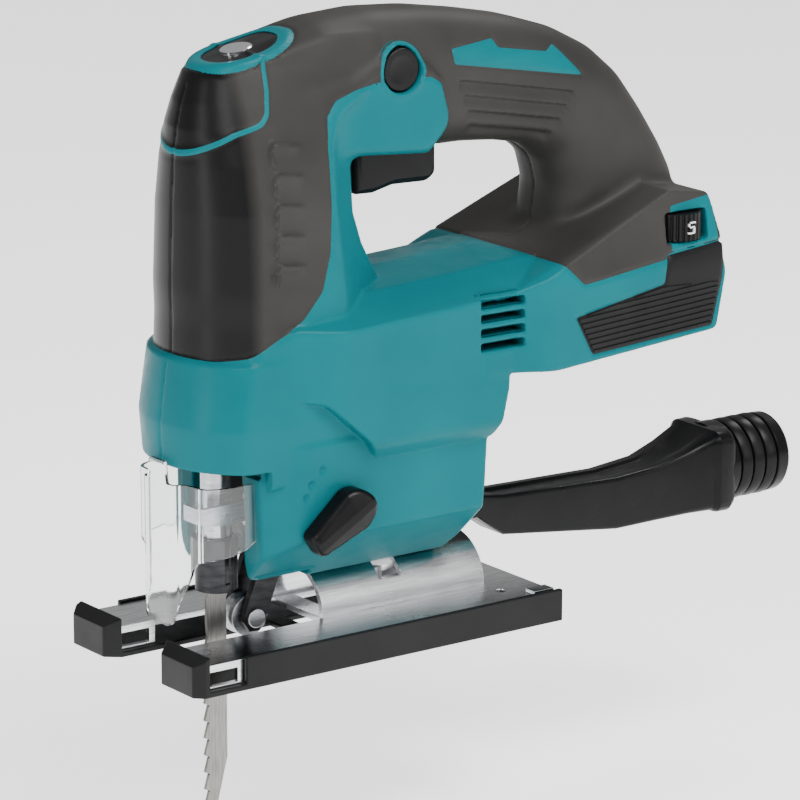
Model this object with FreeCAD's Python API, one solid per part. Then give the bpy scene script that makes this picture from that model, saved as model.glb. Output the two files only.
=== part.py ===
import FreeCAD, Part
import math
import os

# Cordless D-handle jigsaw.  Millimetres.
# Frame: origin on the sole plane at the blade's centre line, +Z up, +X towards
# the rear (battery end), -Y is the user's left side, which carries the levers.

V = FreeCAD.Vector

# ---------------------------------------------------------------- base
BASE_FRONT = -33.0
BASE_REAR = 113.0
BASE_HALF = 38.5
SOLE_T = 2.0
WALL_T = 2.0
WALL_TOP = 11.0
TIP_REAR = -28.0
TIP_TOP = 13.5
COVER_RESUMES = -14.0
GAP_HALF = 13.3
GAP_REAR = 31.0
PLATE_TOP = 10.0
PLATE_T = 2.0
PLATE_HALF = BASE_HALF - WALL_T - 0.2
FLANGE_LOW = 2.2
FENCE_X = (-26.8, -16.2)
FENCE_Z = (2.9, 7.6)
TILT_Z = 10.0
ARCH_R = 16.0
ARCH_T = 2.0
ARCH_X = (31.0, 97.0)
BOLT_X = 60.0
# ---------------------------------------------------------------- housing
WALL = 2.8
COLUMN_HALF = 28.5
BULGE_HALF = 34.5
LOWER_HALF = 30.0
HANDLE_HALF = 17.5
MOUNT_HALF = 38.0
HEAD_BOTTOM = 68.0
LOWER_BOTTOM = 25.0
FACET_RISE = 12.0
POCKET_HALF = 14.5
POCKET_REAR = 27.0
DUCT_HALF = 8.4
DUCT_Z = (27.4, 38.6)
DUCT_X = 66.0
# ---------------------------------------------------------------- drive
STROKE = 26.0
ROD_R = 5.0
RUN = 0.06
GEAR_Z = 106.0
GEAR_TEETH = 38
PINION_TEETH = 7
MODULE = 1.0
MESH_GAP = 0.25
MOTOR_Z = GEAR_Z - MODULE * (GEAR_TEETH + PINION_TEETH) / 2 - MESH_GAP
CRANK_R = STROKE / 2
CRANK_PIN_R = 2.4
CRANK_ROLLER_R = 3.5
YOKE_Z = GEAR_Z - CRANK_R
YOKE_SLOT_HALF = CRANK_ROLLER_R + 3.0
YOKE_WALL = 3.0
GEAR_X = (13.0, 21.0)
CASE_X = (11.0, 34.0)
CASE_HALF = 23.5
CASE_WALL = 2.5
# ---------------------------------------------------------------- blade guide
SLEEVE_Z = (22.0, 40.0)
SLEEVE_R = 7.0
BLADE_T = 1.3
BLADE_TIP_Z = -56.0
TOOTH_PITCH = 5.9
ROLLER_X = 10.9
ROLLER_Z = 11.5
ROLLER_R = 7.0
SWING_X = 20.0
SWING_Z = 41.0
NOSE_FRONT = 10.5
NOSE_REAR = 25.9
OPENER_X = 6.5
OPENER_Y = -11.8
LEVER_X = 30.5
LEVER_Z = 50.8
# ---------------------------------------------------------------- controls
TRIGGER_X = (50.0, 83.0)
TRIGGER_HALF = 8.5
BUTTON_X = 60.5
BUTTON_Z = 189.3
BUTTON_R = 7.0
DIAL_X = 166.0
DIAL_Y = -30.3
DIAL_Z = (123.0, 132.0)
DIAL_R = 8.5
# ---------------------------------------------------------------- dust parts
CHANNEL_HALF = 7.5
CLEAR_T = 1.4
COVER_FRONT = -24.5
COVER_LOW = 15.0
WING_HALF = 22.0
NOZZLE_Z = 31.5
CUFF_R = 14.5
CUFF_BORE = 12.0
SPIGOT_R = 13.6           # plain end of the cuff, past its ribs
SPIGOT_LENGTH = 2.8
NOZZLE_T = 1.6
# where the dust pipe changes section: X, half width, underside, top
NOZZLE_STATIONS = [(79, 7.2, 30.4, 38), (101, 7.2, 30.4, 38), (112, 7.4, 22.5, 36.5), (160, 8.5, 16.5, 35.5),
                   (184, 10, 17.5, 37.5), (200, 12, 19, 41.5)]
CUFF_X = (204.0, 233.0)

# Side outlines, (X, Z), of the moulded masses of the housing.
COLUMN = [(-20.4, 50), (-21, 82), (-17.3, 103), (-16, 130), (-15, 165), (-13.5, 184), (-9.9, 195),
          (31, 202.5), (50, 196), (50, 50)]
BULGE = [(42, 62), (90, 62), (93.5, 82), (94, 100), (104, 116), (104, 127), (72, 123), (46, 121),
         (24, 113), (-8, 103),
         (-8, 92), (21, 86), (37, 73)]
HANDLE = [(20, 158), (20, 202), (36, 206.5), (56, 207.7), (76, 206.3), (96, 203.3), (114, 200), (131, 195),
          (146, 187.5),
          (157.5, 178), (167, 165), (175, 153), (181, 141), (176, 126), (127, 126), (129.5, 142), (126, 152),
          (118, 157.5), (92, 160), (84, 158)]
MOUNT = [(84, 88), (111, 86), (178.5, 91), (182, 111), (179, 127), (171, 139), (160, 141), (127, 137),
         (94, 129), (84, 120)]
LOWER = [(2, 36), (3.5, 28), (9, 25), (82, 25), (86, 36), (88, 66), (88, 72), (10, 72), (2, 60)]
# What of the housing's wall is dark soft moulding rather than hard shell, seen from the side.
DARK = [(-30, 103), (-10, 103.5), (5, 109), (15, 119), (20.5, 135), (23.5, 150), (24, 172), (30, 183),
        (42, 187),
        (54, 187), (68, 187), (77, 184), (80, 170), (76, 160), (86, 153), (94, 150), (88, 130), (105, 127),
        (116, 123), (122, 113.5), (158, 117), (190, 120), (190, 215), (-30, 215)]
CAP_LINE = [(-20, 188.3), (33, 198), (33, 214), (-20, 214)]


# ================================================================ helpers
def box(x0, x1, y0, y1, z0, z1):
    return Part.makeBox(x1 - x0, y1 - y0, z1 - z0, V(x0, y0, z0))


def rod(axis, x, y, z, r, length):
    """Cylinder of radius r that starts at (x, y, z) and runs along +axis."""
    return Part.makeCylinder(r, length, V(x, y, z), V(*axis))


def along_x(x0, x1, y, z, r):
    return rod((1, 0, 0), x0, y, z, r, x1 - x0)


def along_y(y0, y1, x, z, r):
    return rod((0, 1, 0), x, y0, z, r, y1 - y0)


def along_z(z0, z1, x, y, r):
    return rod((0, 0, 1), x, y, z0, r, z1 - z0)


def ring_x(x0, x1, y, z, outer, inner):
    return along_x(x0, x1, y, z, outer).cut(along_x(x0 - 1, x1 + 1, y, z, inner))


def side_prism(points, y0, y1):
    """Extrude an outline given as (X, Z) from y0 to y1."""
    wire = Part.makePolygon([V(x, y0, z) for x, z in points + points[:1]])
    return Part.Face(wire).extrude(V(0, y1 - y0, 0))


def plan_prism(points, z0, z1):
    """Extrude an outline given as (X, Y) from z0 to z1."""
    wire = Part.makePolygon([V(x, y, z0) for x, y in points + points[:1]])
    return Part.Face(wire).extrude(V(0, 0, z1 - z0))


def front_prism(points, x0, x1):
    """Extrude an outline given as (Y, Z) from x0 to x1."""
    wire = Part.makePolygon([V(x0, y, z) for y, z in points + points[:1]])
    return Part.Face(wire).extrude(V(x1 - x0, 0, 0))


def inset(points, distance):
    """Move each side of a closed outline inwards, keeping its number of corners."""
    area = sum(a[0] * b[1] - b[0] * a[1] for a, b in zip(points, points[1:] + points[:1]))
    turn = 1 if area > 0 else -1
    lines = []
    for (ax, az), (bx, bz) in zip(points, points[1:] + points[:1]):
        length = math.hypot(bx - ax, bz - az)
        nx, nz = -(bz - az) / length * turn, (bx - ax) / length * turn
        lines.append((ax + nx * distance, az + nz * distance, bx - ax, bz - az))
    corners = []
    for before, after in zip(lines[-1:] + lines[:-1], lines):
        px, pz, pu, pw = before
        qx, qz, qu, qw = after
        cross = pu * qw - pw * qu
        step = ((qx - px) * qw - (qz - pz) * qu) / cross
        corners.append((px + pu * step, pz + pw * step))
    return corners


def rounded_slab(points, half, radius, steps=3):
    """Solid of a side outline, 2*half wide, with its side edges rounded in flat strips."""
    sections = []
    for i in range(steps + 1):
        angle = math.pi / 2 * i / steps
        ring = inset(points, radius * (1 - math.cos(angle)))
        sections.append((half - radius + radius * math.sin(angle), ring))
    rings = [(-y, ring) for y, ring in reversed(sections)] + sections
    faces = []
    for y, ring in (rings[0], rings[-1]):
        faces.append(Part.Face(Part.makePolygon([V(x, y, z) for x, z in ring + ring[:1]])))
    for (y0, low), (y1, high) in zip(rings, rings[1:]):
        for i in range(len(low)):
            j = (i + 1) % len(low)
            quad = [V(low[i][0], y0, low[i][1]), V(low[j][0], y0, low[j][1]),
                    V(high[j][0], y1, high[j][1]), V(high[i][0], y1, high[i][1])]
            faces.append(Part.Face(Part.makePolygon(quad + quad[:1])))
    solid = Part.makeSolid(Part.makeShell(faces))
    if solid.Volume < 0:
        solid.reverse()
    return solid


def fuse(shapes):
    return shapes[0].multiFuse(shapes[1:]) if len(shapes) > 1 else shapes[0]


def group(shapes):
    return Part.makeCompound(shapes)


def toothed_disc(teeth, x0, x1, z, phase, width):
    """Spur gear about an axis along X through (0, z); width is the tooth's share of the pitch."""
    pitch_r = MODULE * teeth / 2
    outline = []
    for i in range(teeth):
        middle = 2 * math.pi * i / teeth + phase
        for r, share in ((pitch_r - 1.1 * MODULE, width + 0.16), (pitch_r + 0.8 * MODULE, width - 0.22)):
            half = share * math.pi / teeth
            outline.append((r, middle - half, middle + half))
    points = []
    for root, tip in zip(outline[0::2], outline[1::2]):
        for r, a in ((root[0], root[1]), (tip[0], tip[1]), (tip[0], tip[2]), (root[0], root[2])):
            points.append((r * math.cos(a), z + r * math.sin(a)))
    return front_prism(points, x0, x1)


def sector_x(x0, x1, z, outer, inner, half_angle):
    """Part of a tube about an axis along X, centred on straight up."""
    reach = outer * 3
    a = math.radians(half_angle)
    wedge = front_prism([(0, z), (-reach * math.sin(a), z + reach * math.cos(a)), (0, z + reach * 1.2),
                         (reach * math.sin(a), z + reach * math.cos(a))], x0, x1)
    return ring_x(x0, x1, 0, z, outer, inner).common(wedge)


# ================================================================ base
def base_plate():
    """Pressed steel shoe: flat top, edges folded down, a window in each fold for the guide rule."""
    top = box(TIP_REAR, BASE_REAR - 1, -PLATE_HALF, PLATE_HALF, PLATE_TOP - PLATE_T, PLATE_TOP)
    folds = [box(TIP_REAR, BASE_REAR - 6, y, y + PLATE_T, FLANGE_LOW, PLATE_TOP) for y in
             (-PLATE_HALF, PLATE_HALF - PLATE_T)]
    inner = [box(TIP_REAR, COVER_RESUMES, y, y + PLATE_T, FLANGE_LOW, PLATE_TOP) for y in
             (-GAP_HALF - 4.2, GAP_HALF + 2.2)]
    clips = []
    for y in (-33.5, 33.5):
        clips.append(box(BASE_REAR - 10, BASE_REAR - 2, y - 2.5, y + 2.5, PLATE_TOP, PLATE_TOP + 1.2))
    plate = fuse([top] + folds + inner + clips)
    plate = plate.cut(box(TIP_REAR - 1, GAP_REAR, -GAP_HALF - 2.2, GAP_HALF + 2.2, 0, 20))
    plate = plate.cut(box(ARCH_X[0] + 8, ARCH_X[1] - 8, -12, 12, 0, 20))
    plate = plate.cut(box(FENCE_X[0], FENCE_X[1], -50, 50, FENCE_Z[0], FENCE_Z[1]))
    for side in (-1, 1):
        plate = plate.cut(along_z(0, 20, BASE_REAR - 16, side * 25, 1.8))
    return plate


def base_arch():
    """Bevel arch: half a steel tube welded on the shoe, slotted for the clamp bolt."""
    arch = ring_x(ARCH_X[0], ARCH_X[1], 0, TILT_Z, ARCH_R, ARCH_R - ARCH_T)
    arch = arch.common(box(0, 200, -50, 50, PLATE_TOP, 60))
    arch = arch.cut(sector_x(BOLT_X - 4.6, BOLT_X + 4.6, TILT_Z, ARCH_R + 2, ARCH_R - ARCH_T - 2, 58))
    return arch.cut(box(BOLT_X - 14, BOLT_X + 14, -4.6, 4.6, TILT_Z + 5, 60))


def base_cover():
    """Black plastic slipper round the shoe: sole, side walls and two tall front tips."""
    sole = box(BASE_FRONT + 5, BASE_REAR, -BASE_HALF, BASE_HALF, 0, SOLE_T)
    sides = (-BASE_HALF, BASE_HALF - WALL_T)
    walls = [box(COVER_RESUMES, BASE_REAR, y, y + WALL_T, 0, WALL_TOP) for y in sides]
    tips = []
    for s in (-1, 1):
        outline = [(BASE_FRONT + 5, s * GAP_HALF), (TIP_REAR, s * GAP_HALF), (TIP_REAR, s * BASE_HALF),
                   (BASE_FRONT + 3, s * BASE_HALF), (BASE_FRONT, s * (BASE_HALF - 3)), (BASE_FRONT, s * (GAP_HALF + 4))]
        block = plan_prism(outline, 0, TIP_TOP)
        wedge = [(BASE_FRONT - 1, WALL_TOP - 1), (TIP_REAR + 1, TIP_TOP + 0.5), (BASE_FRONT - 1, 20)]
        bevel = side_prism(wedge, -60, 60)
        tips.append(block.cut(bevel))
    rear = box(BASE_REAR - 1, BASE_REAR, -BASE_HALF, BASE_HALF, 0, PLATE_TOP - 1)
    cover = fuse([sole, rear] + walls + tips)
    cover = cover.cut(box(BASE_FRONT - 1, GAP_REAR - 1, -GAP_HALF, GAP_HALF, -1, 20))
    return cover.cut(box(ARCH_X[0] + 6, ARCH_X[1] - 6, -14, 14, -1, SOLE_T + 1))


def clamp_plate():
    """Curved plate inside the arch that the bolt pulls up."""
    plate = sector_x(BOLT_X - 11, BOLT_X + 11, TILT_Z, ARCH_R - ARCH_T - 0.3, ARCH_R - ARCH_T - 3.3, 24)
    return plate.cut(along_z(0, 40, BOLT_X, 0, 3.1))


def clamp_bolt():
    """Hexagon socket bolt up through the clamp plate and the arch's slot into the housing."""
    head = along_z(TILT_Z + 2.6, TILT_Z + 9.6, BOLT_X, 0, 5.0).cut(along_z(0, TILT_Z + 7, BOLT_X, 0, 2.4))
    return head.fuse(along_z(TILT_Z + 9.6, 44, BOLT_X, 0, 3.0))


# ================================================================ housing masses
def lower_mass(shrink=0.0):
    """Lower body: its sides fold in at 45 degrees so that the shoe can tilt under it."""
    half = LOWER_HALF - shrink
    body = side_prism(inset(LOWER, shrink) if shrink else LOWER, -half, half)
    drop = FACET_RISE + shrink * math.sqrt(2)
    low = LOWER_BOTTOM + shrink - 1
    section = [(-(low - drop), low), (low - drop, low), (80, 80 + drop), (-80, 80 + drop)]
    body = body.common(front_prism(section, -10, 120))
    slant = [(2 + shrink, -14), (13 + shrink, -half - 2), (-20, -half - 2), (-20, half + 2),
             (13 + shrink, half + 2),
             (2 + shrink, 14)]
    return body.cut(plan_prism(slant, 0, 100))


def side_ramps(x0, x1, half0, half1):
    """What lies outside a plan that widens from half0 at x0 to half1 at x1, on both sides."""
    outline = [(x0 - 40, half0), (x0, half0), (x1, half1 + 0.2), (x1, 90), (x0 - 40, 90)]
    left = plan_prism([(x, -y) for x, y in outline], 0, 230)
    return left.fuse(plan_prism(outline, 0, 230))


def outer_mass():
    column = rounded_slab(COLUMN, COLUMN_HALF, 13).common(box(-40, 80, -60, 60, HEAD_BOTTOM, 230))
    bulge = rounded_slab(BULGE, BULGE_HALF, 8).cut(side_ramps(-4, 24, COLUMN_HALF - 3, BULGE_HALF))
    bulge = bulge.cut(box(-30, 12, -60, 60, 0, HEAD_BOTTOM)).common(box(-30, 200, -60, 60, 64, 230))
    handle = rounded_slab(HANDLE, HANDLE_HALF, 11)
    mount = rounded_slab(MOUNT, MOUNT_HALF, 4).cut(side_ramps(94, 108, BULGE_HALF, MOUNT_HALF))
    return fuse([column, bulge, handle, mount, lower_mass()])


def inner_mass():
    column = rounded_slab(inset(COLUMN, WALL), COLUMN_HALF - WALL, 11)
    column = column.common(box(-40, 80, -60, 60, HEAD_BOTTOM - 2, 186))
    bulge = rounded_slab(inset(BULGE, WALL), BULGE_HALF - WALL, 6)
    bulge = bulge.cut(side_ramps(-4, 24, COLUMN_HALF - 3 - WALL, BULGE_HALF - WALL))
    handle = rounded_slab(inset(HANDLE, WALL), HANDLE_HALF - WALL, 9).common(box(26, 200, -60, 60, 0, 230))
    mount = rounded_slab(inset(MOUNT, WALL), MOUNT_HALF - WALL, 3).common(box(0, 200, -60, 60, 101, 230))
    mount = mount.cut(side_ramps(94, 108, BULGE_HALF - WALL, MOUNT_HALF - WALL))
    lower = lower_mass(WALL).common(box(POCKET_REAR, 200, -60, 60, DUCT_Z[1] + 2, 100))
    return fuse([column, bulge, handle, mount, lower])


def housing_openings():
    """Everything cut from the housing: mechanism pocket, arch channel, duct, slots, windows and vents."""
    cuts = [box(-30, POCKET_REAR, -POCKET_HALF, POCKET_HALF, 0, HEAD_BOTTOM + 4),
            along_x(-20, 130, 0, TILT_Z, ARCH_R + 0.4),
            box(DUCT_X, 100, -DUCT_HALF, DUCT_HALF, DUCT_Z[0] - 5, DUCT_Z[1]),
            along_z(20, 50, BOLT_X, 0, 3.05),
            box(TRIGGER_X[0] - 0.6, TRIGGER_X[1] + 0.6, -TRIGGER_HALF - 0.5, TRIGGER_HALF + 0.5, 150, 166),
            along_y(-30, -8, BUTTON_X, BUTTON_Z, BUTTON_R + 0.3),
            box(DIAL_X - 9.2, DIAL_X + 9.2, -60, -20, DIAL_Z[0] - 0.8, DIAL_Z[1] + 0.8),
            box(114, 190, -31, 31, 70, 98),
            box(132, 190, -34.4, 34.4, 93.2, 98),
            along_y(-50, 0, LEVER_X, LEVER_Z, 4.3)]
    for i in range(4):
        low = 96 + 4.7 * i
        cuts.append(box(82, 92.6, -60, 60, low, low + 2.9))
    return fuse(cuts)


def screw_places():
    """(X, Z, half width of the housing there) of the screws that join the two halves."""
    return [(-6, 182, 26), (40, 172, 28), (100, 192, 17.5), (152, 168, 17.5), (154.5, 114, 38),
            (97, 117.5, 34),
            (70, 116, 30), (82, 50, 30), (46, 46.5, 30)]


def screw_holes():
    return fuse([along_y(-half + 6, 60, x, z, 1.6) for x, z, half in screw_places()]
                + [along_y(half - 3.6, 60, x, z, 3.7) for x, z, half in screw_places()])


def screws():
    """Self-tapping screws, all put in from the right-hand side."""
    parts = []
    for x, z, half in screw_places():
        shank = along_y(-half + 7, half - 3.6, x, z, 1.55)
        head = along_y(half - 3.6, half - 1.2, x, z, 3.5)
        star = along_y(half - 2.6, half, x, z, 1.5)
        parts.append(shank.fuse(head).cut(star))
    return group(parts)


def bosses(outer):
    posts = fuse([along_y(-half + 1, half - 0.2, x, z, 4.6) for x, z, half in screw_places()])
    return posts.common(outer)


def badge_outline():
    return [(82, 193.5), (99, 195.6), (102, 192.4), (124, 189.6), (128.5, 193), (136, 180.5), (84, 189)]


def housing():
    """Returns the hard shells, soft grips and cap cut from one hollow body."""
    outer = outer_mass()
    shell = outer.cut(inner_mass()).fuse(bosses(outer))
    shell = shell.cut(housing_openings()).cut(screw_holes())
    panel_spans = ((-MOUNT_HALF, -MOUNT_HALF + 1.5), (MOUNT_HALF - 1.5, MOUNT_HALF))
    panels = [side_prism(panel_outline(), *span) for span in panel_spans]
    badge_spans = ((-25, -HANDLE_HALF + 1.2), (HANDLE_HALF - 1.2, 25))
    badges = [side_prism(badge_outline(), *span) for span in badge_spans]
    dark = side_prism(DARK, -60, 60)
    cap_zone = side_prism(CAP_LINE, -60, 60)
    cap = shell.common(cap_zone)
    rest = shell.cut(cap_zone)
    grip = rest.common(dark).cut(fuse(badges))
    hard = rest.cut(dark).cut(fuse(panels))
    badge = rest.common(dark).common(fuse(badges))
    return hard, grip, cap, badge


def halves(shape):
    return shape.common(box(-60, 260, -80, 0, -80, 260)), shape.common(box(-60, 260, 0, 80, -80, 260))


def panel_outline():
    """Ribbed grip panel on each side of the battery mount."""
    return [(118, 103), (125, 89.6), (176, 92.6), (179.5, 108.5), (160, 109.5)]


def battery_panels():
    left = side_prism(inset(panel_outline(), 0.1), -MOUNT_HALF, -MOUNT_HALF + 1.5)
    return left, left.mirror(V(0, 0, 0), V(0, 1, 0))


def cap_frame(shape):
    """Lay a shape drawn flat on Z=0 onto the sloping top of the head cap."""
    shape = shape.copy()
    shape.rotate(V(0, 0, 0), V(0, 1, 0), -math.degrees(math.atan2(7.5, 40.9)))
    shape.translate(V(9.0, 0, 195 + 18.9 * 7.5 / 40.9))
    return shape


def cap_lens():
    half_outline = [(-16, -6), (-10, -10.5), (12, -8.5), (17, -4)]
    outline = half_outline + [(x, -y) for x, y in reversed(half_outline)]
    lens = plan_prism(outline, -1.2, 0.3)
    return cap_frame(lens)


def cap_badge():
    return cap_frame(along_z(0.3, 1.0, -2, 0, 5.4))


# ================================================================ battery end
def terminal_block():
    body = box(116, 131, -24, 24, 89.5, 98)
    slots = [box(119, 132, y - 0.9, y + 0.9, 88, 96) for y in (-18, -6, 6, 18)]
    return body.cut(fuse(slots))


def terminal_blades():
    return group([box(119.4, 141, y - 0.4, y + 0.4, 90.6, 95.8) for y in (-18, -6, 6, 18)])


def battery_rails():
    return group([box(132.4, 176, s * 32.6 - 1.5, s * 32.6 + 1.5, 93.6, 95.0) for s in (-1, 1)])


def controller():
    tray = box(100, 150, -22, 22, 101.2, 112).cut(box(102, 148, -20, 20, 103, 113))
    board = box(102.2, 147.8, -19.8, 19.8, 106, 107.6)
    chips = [box(106 + 12 * i, 113 + 12 * i, -8, 2, 107.6, 110.6) for i in range(3)]
    return tray.fuse(fuse([board] + chips)).fuse(box(104, 146, -19.9, -15, 103, 106))


def dial_board():
    board = box(157.5, 174.5, -34.6, -20, 118.4, 120)
    return board.fuse(along_z(120, 133.4, DIAL_X, DIAL_Y, 1.9))


def speed_dial():
    """Thumb wheel, numbered 1 to 6 on its rim, on a vertical post."""
    wheel = along_z(DIAL_Z[0], DIAL_Z[1], DIAL_X, DIAL_Y, DIAL_R - 0.5)
    teeth = []
    for i in range(24):
        a = 2 * math.pi * i / 24
        teeth.append(along_z(DIAL_Z[0] + 0.4, DIAL_Z[1] - 0.4, DIAL_X + (DIAL_R - 0.9) * math.cos(a),
                             DIAL_Y + (DIAL_R - 0.9) * math.sin(a), 0.9))
    return wheel.fuse(fuse(teeth)).cut(along_z(100, 140, DIAL_X, DIAL_Y, 1.9 + RUN))


# ================================================================ switch
def switch_body():
    return box(48, 82, -8.5, 8.5, 169, 181).fuse(box(52, 66, -6, 6, 181, 184))


def trigger():
    """Finger trigger: its nose hangs lower at the front and it slides up into the housing."""
    outline = [(TRIGGER_X[0], 147.5), (58, 147.2), (66, 149), (80, 148.6), (TRIGGER_X[1], 151),
               (TRIGGER_X[1], 163.5),
               (TRIGGER_X[0], 163.5)]
    return rounded_slab(outline, TRIGGER_HALF, 2.4, 2)


def lock_button():
    cap = along_y(-HANDLE_HALF - 1.8, -12.4, BUTTON_X, BUTTON_Z, BUTTON_R)
    dish = Part.makeSphere(22, V(BUTTON_X, -HANDLE_HALF - 1.8 - 21.4, BUTTON_Z))
    return cap.cut(dish).fuse(along_y(-12.4, -9.4, BUTTON_X, BUTTON_Z, 3.5))


# ================================================================ motor and gears
def motor_stator():
    core = ring_x(43, 69, 0, MOTOR_Z, 24.5, 13.4)
    slots = []
    for i in range(6):
        a = math.pi / 3 * i
        slots.append(along_x(42, 70, 17.6 * math.cos(a), MOTOR_Z + 17.6 * math.sin(a), 2.6))
    return core.cut(fuse(slots))


def motor_coils():
    parts = []
    for x0 in (38.2, 69.2):
        for i in range(6):
            a = math.pi / 3 * (i + 0.5)
            parts.append(along_x(x0, x0 + 4.6, 18.4 * math.cos(a), MOTOR_Z + 18.4 * math.sin(a), 4.6))
    return group(parts)


def sensor_board():
    return ring_x(74.4, 75.8, 0, MOTOR_Z, 21, 12)


def motor_rotor():
    return ring_x(43.5, 68.5, 0, MOTOR_Z, 13.0, 2.5)


def motor_shaft():
    return along_x(26.2, 89.4, 0, MOTOR_Z, 2.5)


def pinion():
    low = -math.pi / 2
    phase = low + math.pi + math.pi / PINION_TEETH
    return toothed_disc(PINION_TEETH, 13.5, 26.2, MOTOR_Z, phase, 0.40)


def fan():
    hub = ring_x(77, 83.4, 0, MOTOR_Z, 7, 2.5)
    disc = ring_x(82.2, 83.4, 0, MOTOR_Z, 21, 6.9)
    vanes = []
    for i in range(11):
        vane = box(77.4, 82.3, 6.5, 20.6, MOTOR_Z - 0.6, MOTOR_Z + 0.6)
        vane.rotate(V(0, 0, MOTOR_Z), V(1, 0, 0), 360 * i / 11)
        vanes.append(vane)
    return fuse([hub, disc] + vanes)


def ball_bearing(x0, x1):
    rings = ring_x(x0, x1, 0, MOTOR_Z, 8, 6.6).fuse(ring_x(x0, x1, 0, MOTOR_Z, 4.2, 2.5 + RUN))
    return rings.fuse(ring_x(x0 + 0.6, x1 - 0.6, 0, MOTOR_Z, 6.7, 4.1))


def bearing_bracket():
    """Moulded seat for the rear motor bearing, held between the housing halves."""
    bracket = box(84.6, 88.4, -12, 12, MOTOR_Z - 10.5, MOTOR_Z + 10.5)
    return bracket.cut(along_x(80, 95, 0, MOTOR_Z, 8))


def gear_case():
    """Aluminium case: carries the gear pin, the front motor bearing and the rod guides."""
    case = box(CASE_X[0], CASE_X[1], -CASE_HALF, CASE_HALF, HEAD_BOTTOM + 4.2, 129.5)
    inner = CASE_HALF - CASE_WALL
    case = case.cut(box(CASE_X[0] - 1, CASE_X[1] - 4, -inner, inner, HEAD_BOTTOM + 6.8, 127))
    return case.cut(along_x(20, 40, 0, GEAR_Z, 4)).cut(along_x(20, 40, 0, MOTOR_Z, 8))


def gear_pin():
    return along_x(GEAR_X[0] - 0.4, CASE_X[1] + 1, 0, GEAR_Z, 4)


def drive_gear():
    gear = toothed_disc(GEAR_TEETH, GEAR_X[0], GEAR_X[1], GEAR_Z, -math.pi / 2, 0.40)
    gear = gear.cut(along_x(0, 40, 0, GEAR_Z, 4 + RUN))
    holes = [along_x(0, 40, 9 * math.cos(a), GEAR_Z + 9 * math.sin(a), 3) for a in (0.5, math.pi - 0.5)]
    return gear.cut(fuse(holes)).cut(along_x(0, 40, 0, YOKE_Z, CRANK_PIN_R))


def crank_pin():
    return along_x(5.6, GEAR_X[1] - 1, 0, YOKE_Z, CRANK_PIN_R)


def crank_roller():
    return ring_x(5.4, 9.6, 0, YOKE_Z, CRANK_ROLLER_R, CRANK_PIN_R)


def counterweight():
    """Half-round weight on the gear's front face, opposite the crank pin."""
    weight = ring_x(10.8, GEAR_X[0], 0, GEAR_Z, 17, 6).common(box(0, 40, -20, 20, GEAR_Z + 3, 150))
    return weight


# ================================================================ reciprocating parts
def slider_rod():
    bar = along_z(24, 144, 0, 0, ROD_R)
    return bar.cut(box(-3.6, 3.6, -BLADE_T / 2 - 0.05, BLADE_T / 2 + 0.05, 20, 36))


def yoke():
    """Slotted crosshead: the crank roller runs from side to side in it and lifts the rod."""
    low = YOKE_Z - YOKE_SLOT_HALF - YOKE_WALL
    high = YOKE_Z + YOKE_SLOT_HALF + YOKE_WALL
    plate = box(5.2, 9.2, -20.4, 20.4, low, high)
    plate = plate.cut(box(0, 20, -17.2, 17.2, YOKE_Z - YOKE_SLOT_HALF, YOKE_Z + YOKE_SLOT_HALF))
    collars = [box(-7, 9.2, -7.5, 7.5, z, z + YOKE_WALL) for z in (low, high - YOKE_WALL)]
    return fuse([plate] + collars).cut(along_z(60, 130, 0, 0, ROD_R))


def clamp_sleeve():
    """Turning collar of the tool-less blade clamp, with two lugs that the opener pushes."""
    sleeve = along_z(SLEEVE_Z[0], SLEEVE_Z[1], 0, 0, SLEEVE_R).cut(along_z(0, 60, 0, 0, ROD_R + RUN))
    grooves = []
    for y in (-SLEEVE_R, SLEEVE_R):
        grooves.append(box(-0.9, 0.9, y - 0.6, y + 0.6, SLEEVE_Z[0] + 3, SLEEVE_Z[1] + 1))
    return sleeve.cut(fuse(grooves))


def blade():
    """Wood blade: shank, then a toothed edge at the front and a back that slopes to the tip."""
    tip_back = -36.0
    outline = [(-3.3, 35), (-3.3, 21.5), (-4.3, 19), (-4.3, 10)]
    z = 6.0
    while z - TOOTH_PITCH > BLADE_TIP_Z:
        outline += [(-4.0, z), (-5.4, z - TOOTH_PITCH * 0.82), (-3.6, z - TOOTH_PITCH * 0.96)]
        z -= TOOTH_PITCH
    outline += [(-4.2, BLADE_TIP_Z), (-1.8, BLADE_TIP_Z), (3.3, tip_back), (3.3, 21.5)]
    outline += [(3.3, 35)]
    return side_prism(outline, -BLADE_T / 2, BLADE_T / 2)


def rod_guide_low():
    block = box(-8, CASE_X[0], -9, 9, HEAD_BOTTOM + 4.2, 79)
    return block.cut(along_z(60, 90, 0, 0, ROD_R + RUN))


def rod_guide_high():
    block = box(-8, 20, -9, 9, 129.5, 140)
    return block.cut(along_z(120, 150, 0, 0, ROD_R + RUN))


# ================================================================ orbital action
def nose_bracket():
    """Dark casting behind the rod that carries the swinging roller holder between two ears."""
    top = box(NOSE_FRONT, NOSE_REAR, -14.2, 14.2, 62, HEAD_BOTTOM + 4)
    outline = [(NOSE_FRONT, 63), (NOSE_FRONT, 44.5), (15.5, 35.5), (24, 35.5), (NOSE_REAR, 40),
               (NOSE_REAR, 63)]
    ears = [side_prism(outline, s * 10.4 - 2.6, s * 10.4 + 2.6) for s in (-1, 1)]
    return fuse([top] + ears).cut(along_y(-20, 20, SWING_X, SWING_Z, 2.5))


def swing_pin():
    return along_y(-12.8, 12.8, SWING_X, SWING_Z, 2.5)


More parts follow.
